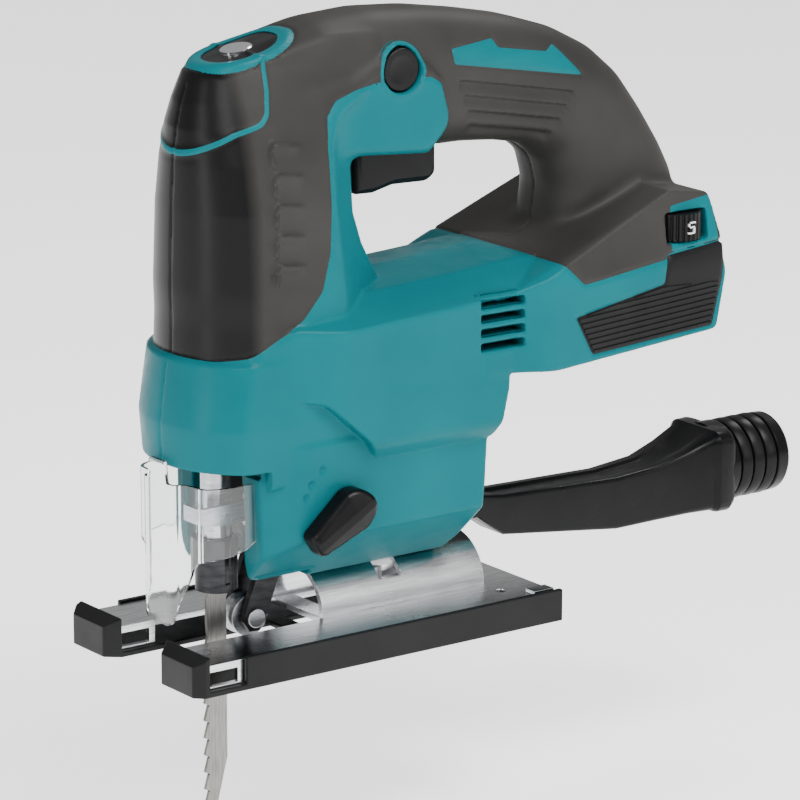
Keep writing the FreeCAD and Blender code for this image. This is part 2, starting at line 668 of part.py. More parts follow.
def roller_holder():
    cheek = [(ROLLER_X - 4.4, ROLLER_Z - 1), (ROLLER_X - 3, ROLLER_Z + 4.5), (11.2, 24), (14.5, 33), (16, 45.5),
             (24, 45.5),
             (24.4, 37), (20.5, 25), (ROLLER_X + 5, ROLLER_Z + 1), (ROLLER_X + 1.5, ROLLER_Z - 4.6),
             (ROLLER_X - 2.2, ROLLER_Z - 4.4)]
    sides = [side_prism(cheek, s * 5.0 - 1.3, s * 5.0 + 1.3) for s in (-1, 1)]
    web = side_prism([(16, 43.6), (24, 43.6), (24, 55), (21.6, 55), (21.6, 47.5), (16, 45.5)], -5, 5)
    holder = fuse(sides + [web])
    holder = holder.cut(along_y(-20, 20, SWING_X, SWING_Z, 2.5 + RUN))
    return holder.cut(along_y(-20, 20, ROLLER_X, ROLLER_Z, 2.0))


def roller_pin():
    shaft = along_y(-6.3, 6.3, ROLLER_X, ROLLER_Z, 2.0)
    heads = [along_y(y, y + 1.2, ROLLER_X, ROLLER_Z, 3.2) for y in (-7.5, 6.3)]
    return fuse([shaft] + heads)


def roller():
    wheel = along_y(-3.2, 3.2, ROLLER_X, ROLLER_Z, ROLLER_R)
    groove = Part.makeTorus(ROLLER_R + 0.9, 1.5, V(ROLLER_X, 0, ROLLER_Z), V(0, 1, 0))
    return wheel.cut(groove).cut(along_y(-10, 10, ROLLER_X, ROLLER_Z, 2.0 + RUN))


def orbital_lever():
    """Change lever on the left side; at rest it points at 0, low and forward."""
    reach = (-12.6, -7.8)
    hub = along_y(-38.2, -LOWER_HALF - 0.3, LEVER_X, LEVER_Z, 7.6)
    tip = along_y(-37.2, -LOWER_HALF - 0.3, LEVER_X + reach[0], LEVER_Z + reach[1], 5.4)
    size = math.hypot(*reach)
    nx, nz = -reach[1] / size, reach[0] / size
    tip_x = LEVER_X + reach[0]
    tip_z = LEVER_Z + reach[1]
    outline = [(LEVER_X + nx * 7.5, LEVER_Z + nz * 7.5), (tip_x + nx * 5.3, tip_z + nz * 5.3),
               (tip_x - nx * 5.3, tip_z - nz * 5.3), (LEVER_X - nx * 7.5, LEVER_Z - nz * 7.5)]
    return fuse([hub, tip, side_prism(outline, -37.2, -LOWER_HALF - 0.3)])


def cam_shaft():
    """Shaft of the change lever with the flat-sided cam that limits the holder's swing."""
    shaft = along_y(-LOWER_HALF - 0.3, 6, LEVER_X, LEVER_Z, 4.2)
    flat = box(LEVER_X - 5, LEVER_X - 2.4, -6, 7, LEVER_Z - 5, LEVER_Z + 5)
    return shaft.cut(flat)


def tool_opener():
    """Bent steel lever that opens the blade clamp; its pin stands on the nose bracket."""
    arm = box(-12.6, OPENER_X, OPENER_Y, OPENER_Y + 1.4, 47, 53.5)
    front = box(-12.6, -11.2, OPENER_Y, -1, 47.6, 53)
    finger = box(-12.6, -8.6, -2.4, -1, 48.6, 52)
    hub = along_z(47, 53.5, OPENER_X, OPENER_Y, 2.4)
    return fuse([arm, front, finger, hub]).cut(along_z(40, 60, OPENER_X, OPENER_Y, 1.3 + RUN))


def opener_pin():
    """Pin of the opener between two small ears on the front of the nose bracket."""
    pin = along_z(44.8, 55.6, OPENER_X, OPENER_Y, 1.3)
    ears = [box(OPENER_X - 2.4, NOSE_FRONT, -14.2, -9, z, z + 1.6) for z in (45.0, 53.9)]
    return fuse([pin] + ears)


# ================================================================ dust parts
def dust_cover():
    """Clear guard: a channel down the front and a wing on each side; the top tab is its grip."""
    back = -16.0
    channel = box(COVER_FRONT, back, -CHANNEL_HALF, CHANNEL_HALF, COVER_LOW, 62)
    inner = CHANNEL_HALF - CLEAR_T
    channel = channel.cut(box(COVER_FRONT + CLEAR_T, back + 1, -inner, inner, 0, 80))
    channel = channel.cut(side_prism([(back - 7, 0), (back + 1, 0), (back + 1, 26)], -20, 20))
    tab = box(COVER_FRONT, COVER_FRONT + CLEAR_T, -5.5, 5.5, 60, 71)
    wings = []
    for s in (-1, 1):
        low, high = sorted((s * (WING_HALF - CLEAR_T), s * WING_HALF))
        side = side_prism([(back, 41), (2, 47), (5, 51), (5.5, 59), (3.5, 62), (back, 62)], low, high)
        low, high = sorted((s * (CHANNEL_HALF - CLEAR_T), s * WING_HALF))
        front = box(back - CLEAR_T, back, low, high, 30, 62)
        slope = [(s * CHANNEL_HALF, 25), (s * 40, 25), (s * 40, 59), (s * CHANNEL_HALF, 31)]
        front = front.cut(front_prism(slope, -40, 0))
        wings += [side, front]
    return fuse([channel, tab] + wings)


def rect_section(x, half, low, high):
    corners = [(-half, low), (half, low), (half, high), (-half, high), (-half, low)]
    return Part.makePolygon([V(x, y, z) for y, z in corners])


def nozzle_tube():
    """Rectangular dust pipe, from the duct under the housing out to the round cuff."""
    outer = []
    inner = []
    for (x0, h0, a0, b0), (x1, h1, a1, b1) in zip(NOZZLE_STATIONS, NOZZLE_STATIONS[1:]):
        outer.append(Part.makeLoft([rect_section(x0, h0, a0, b0), rect_section(x1, h1, a1, b1)], True, True))
        inner.append(Part.makeLoft([rect_section(x0, h0 - NOZZLE_T, a0 + NOZZLE_T, b0 - NOZZLE_T),
                                    rect_section(x1, h1 - NOZZLE_T, a1 + NOZZLE_T, b1 - NOZZLE_T)], True, True))
    flange = rounded_flange()
    x, half, low, high = NOZZLE_STATIONS[0]
    mouth = box(x - 10, x, NOZZLE_T - half, half - NOZZLE_T, low + NOZZLE_T, high - NOZZLE_T)
    ends = [mouth, along_x(200, 206, 0, NOZZLE_Z, CUFF_BORE - 1.4)]
    return fuse(outer + [flange]).cut(fuse(inner + ends))


def rounded_flange():
    plate = box(200, 203.4, -15, 15, NOZZLE_Z - 16, NOZZLE_Z + 15.5)
    edges = [e for e in plate.Edges if abs(e.tangentAt(e.FirstParameter).x) > 0.9]
    return plate.makeFillet(7, edges)


def nozzle_cuff():
    """Ribbed round cuff that a vacuum hose pushes over."""
    body = along_x(203.4, CUFF_X[1], 0, NOZZLE_Z, CUFF_R - 1.2)
    spigot = along_x(CUFF_X[1] - SPIGOT_LENGTH, CUFF_X[1], 0, NOZZLE_Z, SPIGOT_R)
    starts = [CUFF_X[0] + 3 + 6 * i for i in range(4)]
    ribs = [ring_x(x, x + 3.2, 0, NOZZLE_Z, CUFF_R, CUFF_R - 2) for x in starts]
    collar = along_x(203.4, 206.4, 0, NOZZLE_Z, CUFF_R + 1)
    return fuse([body, spigot, collar] + ribs).cut(along_x(200, 240, 0, NOZZLE_Z, CUFF_BORE))


def job_light():
    """Small lamp beside the lower rod guide that shines down at the cut."""
    seat = box(-8, -2, -14.2, -9, HEAD_BOTTOM + 5.6, HEAD_BOTTOM + 8.6)
    return seat.fuse(along_z(HEAD_BOTTOM + 3.6, HEAD_BOTTOM + 5.6, -5, -11.6, 2.4))


# ================================================================ export
def main():
    os.makedirs("parts", exist_ok=True)
    hard, grip, cap, badge = housing()
    cap = cap.cut(cap_lens())
    nodes = {}
    nodes["housing_left"], nodes["housing_right"] = halves(hard)
    nodes["grip_left"], nodes["grip_right"] = halves(grip)
    nodes["handle_badge_left"], nodes["handle_badge_right"] = halves(badge)
    nodes["battery_panel_left"], nodes["battery_panel_right"] = battery_panels()
    nodes["head_cap"] = cap
    makers = [cap_lens, cap_badge, terminal_block, terminal_blades, battery_rails, controller, dial_board, speed_dial,
              switch_body, trigger, lock_button, motor_stator, motor_coils, sensor_board, motor_rotor, motor_shaft,
              pinion, fan, bearing_bracket, gear_case, gear_pin, drive_gear, crank_pin, crank_roller, counterweight,
              slider_rod, yoke, clamp_sleeve, blade, rod_guide_low, rod_guide_high, nose_bracket, swing_pin,
              roller_holder, roller_pin, roller, orbital_lever, cam_shaft, tool_opener, opener_pin, dust_cover,
              nozzle_tube, nozzle_cuff, job_light, base_plate, base_arch, base_cover, clamp_plate, clamp_bolt]
    for maker in makers:
        nodes[maker.__name__] = maker()
    nodes["motor_bearings"] = group([ball_bearing(CASE_X[1] - 4, CASE_X[1] + 1), ball_bearing(84.4, 89.2)])
    nodes["housing_screws"] = screws()
    for name, shape in nodes.items():
        shape.exportStep("parts/" + name + ".step")
        print(name, len(shape.Solids), round(shape.Volume), shape.isValid())


main()
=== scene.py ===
import math

import bmesh
import bpy
import numpy as np
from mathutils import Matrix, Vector


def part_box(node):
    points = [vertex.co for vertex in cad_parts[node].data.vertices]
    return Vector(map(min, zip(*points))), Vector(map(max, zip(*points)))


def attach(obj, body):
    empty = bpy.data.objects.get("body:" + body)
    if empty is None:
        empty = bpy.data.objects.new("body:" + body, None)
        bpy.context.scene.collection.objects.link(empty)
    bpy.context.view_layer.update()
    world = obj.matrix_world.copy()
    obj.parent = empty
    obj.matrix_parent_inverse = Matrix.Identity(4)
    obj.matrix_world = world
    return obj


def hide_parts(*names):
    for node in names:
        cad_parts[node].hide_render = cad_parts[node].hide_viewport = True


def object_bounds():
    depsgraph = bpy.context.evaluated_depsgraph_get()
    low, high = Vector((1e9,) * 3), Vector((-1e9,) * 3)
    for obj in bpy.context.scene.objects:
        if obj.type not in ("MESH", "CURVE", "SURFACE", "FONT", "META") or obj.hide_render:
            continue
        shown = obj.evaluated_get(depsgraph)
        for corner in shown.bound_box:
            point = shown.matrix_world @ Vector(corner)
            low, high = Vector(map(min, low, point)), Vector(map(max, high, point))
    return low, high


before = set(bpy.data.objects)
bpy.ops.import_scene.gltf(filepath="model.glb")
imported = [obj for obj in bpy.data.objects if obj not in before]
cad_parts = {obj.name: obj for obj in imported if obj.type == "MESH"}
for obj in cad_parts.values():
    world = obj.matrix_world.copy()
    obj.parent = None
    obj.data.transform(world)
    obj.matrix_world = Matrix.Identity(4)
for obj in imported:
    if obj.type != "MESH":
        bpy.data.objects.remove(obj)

CAD_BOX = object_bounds()
MM = 0.001
MIDDLE = Vector((0.072, 0, 0.085))   # the camera and the lights face this point, in metres
SHARP = math.radians(35)             # edges that turn by more than this stay sharp in the shading

# All outlines below are in millimetres in the frame of the CAD: (X, Z) seen from the left side unless said.
CELL = 0.7               # size of the grid on which the moulded housing is worked out
WALL = 2.2               # thickness of the moulded housing
HEAD_BOTTOM = 67.2       # lower edge of the head, above the blade clamp
# (Z, X) of the front of the head at Y = 0
NOSE = [(60, -20.0), (68, -20.6), (81, -21.2), (92, -19.8), (102.0, -18.4), (103.4, -17.2), (130, -16.3),
        (150, -15.7), (165, -14.9), (176, -13.6), (184, -11.7), (190, -9.6), (195, -7.6), (205, -6.0)]
# (Z, length) of the rounded nose, back to the flat sides
NOSE_REACH = [(60, 25.0), (165, 25.0), (184, 22.0), (195, 19.0), (205, 18.5)]
# (Z, half width) of the rounded nose
NOSE_HALF = [(60, 31.2), (81, 33.4), (102, 32.0), (103.4, 30.5), (150, 29.0), (165, 26.6), (176, 23.4),
             (184, 20.4), (190, 17.8), (195, 15.8), (205, 14.6)]
# (Z, half width) of the flat sides of the head
SIDE_HALF = [(60, 28.6), (81, 29.8), (102, 29.0), (103.4, 28.2), (150, 27.6), (165, 26.6), (176, 25.0),
             (186, 22.4), (194, 19.4), (205, 17.5)]
# (Z, X) of the back of the front leg
LEG_REAR = [(60, 60.0), (118, 60.0), (126, 53.5), (134, 47.5), (145, 42.6), (180, 42.6), (195, 50.0),
            (205, 54.0)]
COLUMN_SIDE = [(-30, 60), (62, 60), (62, 196), (50, 201), (34, 202.6), (28, 201.4), (-7.4, 194.9),
               (-30, 190.8)]
HANDLE_OUT = [(-2, 192), (8, 197.6), (20, 201.6), (36, 206.3), (56, 207.6), (76, 206.4), (96, 203.4),
              (114, 199.9), (131, 194.6), (146, 187.0), (157.5, 177.4), (167, 165.0), (175.5, 152.2),
              (182, 140), (178, 126), (127, 126), (129.4, 141), (126.5, 151), (119, 156.6), (107, 158.8),
              (93, 160), (84, 160), (60, 162), (30, 163.6), (4, 170)]
POD = [(26, 164.2), (72, 160.6), (79.5, 168), (80.5, 173), (77.5, 184), (72, 190), (58, 197), (40, 188),
       (26, 186)]
BULGE = [(42, 65.4), (89.5, 65.4), (93.4, 82), (94.3, 98), (104, 112), (112, 117), (112, 134), (-6, 124),
         (-6, 92), (21.5, 86.6), (37, 73.0)]
BULGE_HALF = 34.6
LOWER = [(1.2, 34), (2.0, 29), (5.2, 25.2), (9, 24.6), (82.5, 24.6), (85.0, 30), (86.0, 38), (87.2, 52),
         (88.4, 74), (0.2, 74)]
LOWER_HALF = 30.0
MOUNT = [(84, 87.6), (111, 86.0), (178.4, 91.0), (182.2, 110), (180.5, 122), (177, 136), (172, 144),
         (150, 148), (84, 148)]
DARK = [(-40, 103.0), (-12, 103.2), (-4, 104.6), (5, 109.0), (16, 114.6), (23.4, 123), (26.6, 135),
        (27.4, 150), (27.4, 168), (29, 178), (33, 182.5), (42, 185.2), (52, 186.4), (62, 186.4),
        (72, 186.0), (77, 183), (80.5, 171), (77, 163.5), (73, 158), (74, 154), (90, 154), (94, 148),
        (84, 130), (92, 126.8), (103, 125.4), (113.4, 121.6), (121.6, 113.6), (156.4, 117.6),
        (157.6, 119.4), (183, 121.4), (200, 121.4), (200, 230), (-40, 230)]
DIAL_PLATE = [(158.8, 119.8), (179.2, 121.6), (176.8, 137.0), (159.6, 135.0)]
PANEL = [(118, 103.0), (125, 89.6), (176, 92.6), (180.3, 108.5), (181.6, 121.0), (157.0, 118.8),
         (155.4, 109.4)]
RIBBED = [(118.8, 102.9), (125.4, 90.4), (175.4, 93.4), (178.6, 107.4), (155.0, 108.6)]
BADGE = [(81.8, 193.6), (99.2, 195.2), (101.2, 192.0), (121.5, 188.6), (125.0, 190.6), (136.2, 179.2),
         (83.2, 188.4)]
PIPING = [(9.6, 205), (9.2, 197), (8.2, 188), (6.5, 181), (4, 178.3), (-4, 175.6), (-10, 171.8),
          (-16.2, 167.4), (-18, 166.4), (-26, 165.9)]
PIPING_AREA = PIPING + [(-60, 165.9), (-60, 230), (9.6, 230)]
CAP_CENTRE = (10.6, 0.0)
CAP_RADII = (17.6, 14.8)
BUTTON = (60.5, 189.3)
LEVER = (30.5, 50.8)
LEVER_TIP = (-12.6, -7.8)
LEVER_DOTS = [(-15.1, 5.7), (-13.1, 9.8), (-9.0, 14.0)]    # marks round the lever, from its centre
DOT_Y = 30.6
DIAL = (166.0, -30.3)    # (X, Y)
DIAL_RADIUS = 8.4
DIAL_TEETH = 26
VENTS = [(96.0 + 4.7 * i, 98.9 + 4.7 * i) for i in range(4)]
VENT_X = (81.5, 92.6)
RIDGES, RIDGE_TOP, RIDGE_PITCH = 5, 170.8, 9.65             # on the front leg
LOUVRES, LOUVRE_TOP, LOUVRE_PITCH = 4, 182.6, 4.85          # on the sides of the handle
RIBS, RIB_LOW, RIB_PITCH, RIB_HEIGHT = 9, 82.6, 1.95, 1.15  # on the battery panels
TILT_Z = 10.0            # height of the axis about which the tool tilts on its shoe
NOZZLE_Z = 31.5
EAVE_RISE = 0.0537       # how the eave of the motor housing climbs towards the rear
BAND_SLOPE = 0.50        # slope of the roof between the eave and the crown
CROWN_LIFT = 7.2
CROWN_HALF = 20
CROWN_SLOPE = 0.10
# Sections of the dust pipe: (X, half width, low Z, high Z, corner radius, groove depth)
DUCT = [(79, 7.2, 30.4, 38, 0.8, 0.0), (101, 7.2, 30.4, 38, 0.8, 0.2), (112, 7.4, 22.5, 36.5, 1.2, 0.8),
        (160, 8.5, 16.5, 35.0, 1.4, 0.9), (178, 9.4, 16.9, 36.4, 1.6, 0.9),
        (190, 10.8, 17.3, 40.0, 2.0, 0.6), (199.5, 12.6, 17.2, 43.8, 3.0, 0.2),
        (201.5, 14.2, 16.4, 45.4, 4.0, 0.0), (206, 14.7, 16.3, 45.6, 4.6, 0.0),
        (207.6, 14.2, 17.0, 45.2, 5.0, 0.0), (208.2, 13.2, 18.2, 44.6, 8.0, 0.0)]
CUFF_GROOVES = (227.4, 222.0, 216.6, 211.2)
# The clear guard: (X, Y) in plan, and (distance along the sheet from its middle, Z) of its lower edge
GUARD_PATH = [(-22.6, 0), (-22.6, 9.2), (-18.0, 9.6), (-17.4, 21.9), (5.2, 21.9)]
GUARD_LOW = [(0, 14.6), (5, 14.6), (6.8, 15.2), (8, 16.4), (9, 18.6), (10, 21.5), (12, 26), (14, 31),
             (15.5, 34.5), (17.5, 37), (22, 38.2), (30, 39.2), (36, 40.6), (39.5, 42.8), (42, 46.2),
             (43.6, 50.5), (60, 60)]
SCREWS = [(1, 166), (40, 172), (100, 192), (152, 168), (146, 123), (97, 109.6), (70, 109.4), (82, 50),
          (46, 46.5)]


# ------------------------------------------------------------------ distance fields
def flat_distance(outline, us, ws):
    """Signed distance, negative inside, to a closed outline on the grid us by ws."""
    u, w = np.meshgrid(us, ws, indexing="ij")
    best = np.full(u.shape, 1e9)
    inside = np.zeros(u.shape, bool)
    for (u0, w0), (u1, w1) in zip(outline, outline[1:] + outline[:1]):
        du, dw = u1 - u0, w1 - w0
        t = np.clip(((u - u0) * du + (w - w0) * dw) / (du * du + dw * dw), 0, 1)
        best = np.minimum(best, np.hypot(u - u0 - t * du, w - w0 - t * dw))
        if w0 != w1:
            crosses = (w0 > w) != (w1 > w)
            inside ^= crosses & (u < u0 + (w - w0) * du / dw)
    return np.where(inside, -best, best).astype(np.float32)


def soften(field, cells):
    """Gaussian blur of a flat field, which rounds the corners of its outline."""
    reach = int(math.ceil(cells * 2.5))
    weights = np.exp(-0.5 * (np.arange(-reach, reach + 1) / cells) ** 2)
    weights /= weights.sum()
    for axis in (0, 1):
        margins = [(reach, reach) if a == axis else (0, 0) for a in (0, 1)]
        padded = np.pad(field, margins, mode="reflect", reflect_type="odd")
        length = field.shape[axis]
        field = sum(k * np.take(padded, np.arange(i, i + length), axis=axis) for i, k in enumerate(weights))
    return field.astype(np.float32)


def smin(a, b, k):
    h = np.clip(0.5 + 0.5 * (b - a) / k, 0, 1)
    return b * (1 - h) + a * h - k * h * (1 - h)


def smax(a, b, k):
    return -smin(-a, -b, k)


def rounded_extrusion(flat, across, half, radius):
    """Solid of a flat field, 2*half wide across, with edges rounded to a radius."""
    a = flat + radius
    b = np.abs(across) - half + radius
    return np.minimum(np.maximum(a, b), 0) + np.hypot(np.maximum(a, 0), np.maximum(b, 0)) - radius


def ramp(x, x0, x1):
    t = np.clip((x - x0) / (x1 - x0), 0, 1)
    return t * t * (3 - 2 * t)


class Grid:
    """A box of cells; x, y and z broadcast against each other."""

    def __init__(self, low, high, cell):
        self.low = np.array(low, float)
        self.cell = cell
        self.count = [int(math.ceil((h - l) / cell)) + 1 for l, h in zip(low, high)]
        self.xs, self.ys, self.zs = [l + cell * np.arange(n) for l, n in zip(low, self.count)]
        self.x = self.xs[:, None, None].astype(np.float32)
        self.y = self.ys[None, :, None].astype(np.float32)
        self.z = self.zs[None, None, :].astype(np.float32)

    def side(self, outline, blur=0.0):
        field = flat_distance(outline, self.xs, self.zs)
        return (soften(field, blur / self.cell) if blur else field)[:, None, :]


def net(grid, field):
    """Surface nets: vertices and triangles of the zero level, then each vertex pulled onto the level."""
    f = np.ascontiguousarray(field, dtype=np.float32)
    nx, ny, nz = f.shape
    corners = [(i, j, k) for i in (0, 1) for j in (0, 1) for k in (0, 1)]
    negative = f < 0
    count = np.zeros((nx - 1, ny - 1, nz - 1), np.int8)
    for i, j, k in corners:
        count += negative[i:nx - 1 + i, j:ny - 1 + j, k:nz - 1 + k]
    active = (count > 0) & (count < 8)
    cells = np.argwhere(active)
    index = np.full(active.shape, -1, np.int64)
    index[active] = np.arange(len(cells))
    total = np.zeros((len(cells), 3))
    hits = np.zeros(len(cells))
    edges = [(a, b) for a in range(8) for b in range(a + 1, 8)
             if sum(p != q for p, q in zip(corners[a], corners[b])) == 1]
    values = [f[cells[:, 0] + i, cells[:, 1] + j, cells[:, 2] + k].astype(float) for i, j, k in corners]
    for a, b in edges:
        cross = (values[a] < 0) != (values[b] < 0)
        t = np.where(cross, values[a] / np.where(cross, values[a] - values[b], 1), 0)
        point = np.array(corners[a]) + t[:, None] * (np.array(corners[b]) - np.array(corners[a]))
        total += point * cross[:, None]
        hits += cross
    points = cells + total / hits[:, None]
    quads = []
    for axis in range(3):
        lead = [slice(None)] * 3
        trail = [slice(None)] * 3
        lead[axis], trail[axis] = slice(0, -1), slice(1, None)
        a, b = negative[tuple(lead)], negative[tuple(trail)]
        change = np.argwhere(a != b)
        others = [d for d in range(3) if d != axis]
        keep = np.ones(len(change), bool)
        for d in others:
            keep &= (change[:, d] > 0) & (change[:, d] < f.shape[d] - 1)
        change = change[keep]
        ring = []
        for s0, s1 in ((1, 1), (0, 1), (0, 0), (1, 0)):
            c = change.copy()
            c[:, others[0]] -= s0
            c[:, others[1]] -= s1
            ring.append(index[c[:, 0], c[:, 1], c[:, 2]])
        ring = np.stack(ring, 1)
        flip = a[tuple(change.T)] if axis != 1 else ~a[tuple(change.T)]
        ring[~flip] = ring[~flip][:, ::-1]
        quads.append(ring)
    quads = np.concatenate(quads)
    quads = quads[(quads >= 0).all(1)]
    for _ in range(3):
        value, slope = sample(f, points)
        step = value / np.maximum((slope ** 2).sum(1), 0.02)
        points = points - np.clip(step[:, None] * slope, -0.4, 0.4)
    triangles = np.concatenate([quads[:, [0, 1, 2]], quads[:, [0, 2, 3]]])
    return points * grid.cell + grid.low, triangles


def sample(f, points):
    """Value and slope of a grid field at points given in cells."""
    limit = np.array(f.shape) - 1.001
    p = np.clip(points, 0, limit)
    base = p.astype(int)
    t = p - base
    value = np.zeros(len(p))
    slope = np.zeros((len(p), 3))
    for i in (0, 1):
        for j in (0, 1):
            for k in (0, 1):
                v = f[base[:, 0] + i, base[:, 1] + j, base[:, 2] + k]
                wx, wy, wz = (t[:, d] if far else 1 - t[:, d] for d, far in enumerate((i, j, k)))
                value += v * wx * wy * wz
                slope[:, 0] += v * (1 if i else -1) * wy * wz
                slope[:, 1] += v * (1 if j else -1) * wx * wz
                slope[:, 2] += v * (1 if k else -1) * wx * wy
    return value, slope


class Flat:
    """Signed distance to an outline, looked up at any points."""

    def __init__(self, outline, blur=0.0, low=(-45, -50), high=(200, 235), cell=0.5):
        self.low, self.cell = np.array(low, float), cell
        us = np.arange(low[0], high[0], cell)
        ws = np.arange(low[1], high[1], cell)
        self.field = flat_distance(outline, us, ws)
        if blur:
            self.field = soften(self.field, blur / cell)

    def __call__(self, u, w):
        a = np.clip((u - self.low[0]) / self.cell, 0, self.field.shape[0] - 1.001)
        b = np.clip((w - self.low[1]) / self.cell, 0, self.field.shape[1] - 1.001)
        i, j = a.astype(int), b.astype(int)
        s, t = a - i, b - j
        f = self.field
        return (f[i, j] * (1 - s) * (1 - t) + f[i + 1, j] * s * (1 - t)
                + f[i, j + 1] * (1 - s) * t + f[i + 1, j + 1] * s * t)


def clip(points, triangles, value):
    """Keep the part of a triangle surface where value is negative, cut cleanly along zero."""
    value = np.where(np.abs(value) < 1e-5, -1e-5, value)
    inside = value[triangles] < 0
    number = inside.sum(1)
    whole = triangles[number == 3]
    new_points, new_triangles = [points], [whole]
    start = len(points)
    for kept in (1, 2):
        rows = triangles[number == kept]
        flags = inside[number == kept]
        if not len(rows):
            continue
        odd = np.argmax(flags, 1) if kept == 1 else np.argmin(flags, 1)
        a = rows[np.arange(len(rows)), odd]
        b = rows[np.arange(len(rows)), (odd + 1) % 3]
        c = rows[np.arange(len(rows)), (odd + 2) % 3]
        cuts = []
        for p, q in ((a, b), (a, c)):
            t = value[p] / (value[p] - value[q])
            new_points.append(points[p] + t[:, None] * (points[q] - points[p]))
            cuts.append(start + np.arange(len(rows)))
            start += len(rows)
        ab, ac = cuts
        if kept == 1:
            new_triangles.append(np.stack([a, ab, ac], 1))
        else:
            new_triangles.append(np.stack([ab, b, c], 1))
            new_triangles.append(np.stack([ab, c, ac], 1))
    return tidy_mesh(np.concatenate(new_points), np.concatenate(new_triangles))


def tidy_mesh(points, triangles):
    """Weld equal points, drop empty triangles and unused points."""
    keys = np.round(points * 2000).astype(np.int64)
    _, first, inverse = np.unique(keys, axis=0, return_index=True, return_inverse=True)
    inverse = inverse.reshape(-1)
    triangles = inverse[triangles]
    points = points[first]
    a, b, c = triangles.T
    triangles = triangles[(a != b) & (b != c) & (a != c)]
    used, triangles = np.unique(triangles, return_inverse=True)
    return points[used], triangles.reshape(-1, 3)


def drop_crumbs(points, triangles, least=60):
    """Remove separate scraps with few triangles."""
    label = np.arange(len(points))
    while True:
        low = label[triangles].min(1)
        before = label.copy()
        np.minimum.at(label, triangles[:, 0], low)
        np.minimum.at(label, triangles[:, 1], low)
        np.minimum.at(label, triangles[:, 2], low)
        label = label[label]
        if (label == before).all():
            break
    names, counts = np.unique(label[triangles[:, 0]], return_counts=True)
    good = np.isin(label[triangles[:, 0]], names[counts >= least])
    return tidy_mesh(points, triangles[good])


def vertex_normals(points, triangles):
    a, b, c = (points[triangles[:, i]] for i in range(3))
    face = np.cross(b - a, c - a)
    total = np.zeros_like(points)
    for i in range(3):
        np.add.at(total, triangles[:, i], face)
    return total / np.maximum(np.linalg.norm(total, axis=1, keepdims=True), 1e-12)


def thicken(points, triangles, wall):
    """Closed shell: the surface, its copy set in by a wall thickness, and a rim along every open edge."""
    inner = points - vertex_normals(points, triangles) * wall
    count = len(points)
    edges = np.concatenate([triangles[:, [0, 1]], triangles[:, [1, 2]], triangles[:, [2, 0]]])
    key = np.sort(edges, 1)
    _, first, number = np.unique(key, axis=0, return_index=True, return_counts=True)
    rim = edges[first[number == 1]]
    a, b = rim.T
    sides = np.concatenate([np.stack([b, a, a + count], 1), np.stack([b, a + count, b + count], 1)])
    return np.concatenate([points, inner]), np.concatenate([triangles, triangles[:, ::-1] + count, sides])


# ------------------------------------------------------------------ making objects
def add_object(name, mesh, body, material, replaced=()):
    piece = bpy.data.objects.new(name, mesh)
    bpy.context.collection.objects.link(piece)
    mesh.materials.append(material)
    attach(piece, body)
    if replaced:
        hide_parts(*replaced)
    return piece


def mesh_from_arrays(name, points, triangles, sharp=38):
    mesh = bpy.data.meshes.new(name)
    mesh.vertices.add(len(points))
    mesh.vertices.foreach_set("co", (points * MM).astype(np.float32).ravel())
    mesh.loops.add(len(triangles) * 3)
    mesh.loops.foreach_set("vertex_index", triangles.astype(np.int32).ravel())
    mesh.polygons.add(len(triangles))
    mesh.polygons.foreach_set("loop_start", np.arange(0, len(triangles) * 3, 3, dtype=np.int32))
    mesh.polygons.foreach_set("use_smooth", np.ones(len(triangles), bool))
    mesh.update(calc_edges=True)
    mesh.validate()
    mesh.set_sharp_from_angle(angle=math.radians(sharp))
    return mesh


# ------------------------------------------------------------------ the moulded housing
def along(table, values):
    return np.interp(values, [a for a, _ in table], [b for _, b in table])[None, None, :].astype(np.float32)


def column_field(g):
    """Head and front leg: a rounded nose, flat sides and chamfered rear corners."""
    reach, wide = along(NOSE_REACH, g.zs), along(NOSE_HALF, g.zs)
    middle = along(NOSE, g.zs) + reach
    u, v = (g.x - middle) / reach, g.y / wide
    radius = np.sqrt(u * u + v * v)
    slope = np.sqrt((u / reach) ** 2 + (v / wide) ** 2) / np.maximum(radius, 0.05)
    nose = np.where(g.x < middle, (radius - 1) / np.maximum(slope, 0.02), np.abs(g.y) - wide)
    sides = np.abs(g.y) - along(SIDE_HALF, g.zs)
    corner = 0.566 * g.x + 0.82 * np.abs(g.y) + 0.081 * np.minimum(g.z, 168) - 50.8 - 14 * ramp(g.z, 176, 196)
    rear = g.x - along(LEG_REAR, g.zs)
    body = smax(smax(smax(nose, sides, 1.2), corner, 1.6), rear, 2.4)
    return smax(body, g.side(COLUMN_SIDE, 0.8), 2.6)


def bulge_field(g):
    """Motor housing with a low roof, a chamfered front and a chamfered lower edge."""
    body = rounded_extrusion(g.side(BULGE, 0.9), g.y, BULGE_HALF, 0.9)
    eave = 110.1 + EAVE_RISE * (g.x - 24)
    roof = (g.z - eave - (BULGE_HALF - np.abs(g.y)) * BAND_SLOPE) * 0.89
    crown = g.z - eave - CROWN_LIFT - (CROWN_HALF - np.abs(g.y)) * CROWN_SLOPE
    front = (np.abs(g.y) - 28.0 - 0.31 * (g.x - 6)) * 0.955
    foot = (np.abs(g.y) - 30.2 - (g.z - 65.4) * 0.8) * 0.78
    return smax(smax(smax(smax(body, roof, 0.4), crown, 0.4), front, 1.2), foot, 1.5)


def lower_field(g):
    """Lower body: folded under for the tilting shoe, and slanted at its front corners."""
    body = rounded_extrusion(g.side(LOWER, 1.0), g.y, LOWER_HALF, 1.2)
    fold = (np.abs(g.y) + 12.2 - g.z) * 0.7071
    slant = (np.abs(g.y) - 24.6 - (g.x - 0.5) * 0.44) * 0.9
    return smax(smax(body, fold, 0.8), slant, 1.2)


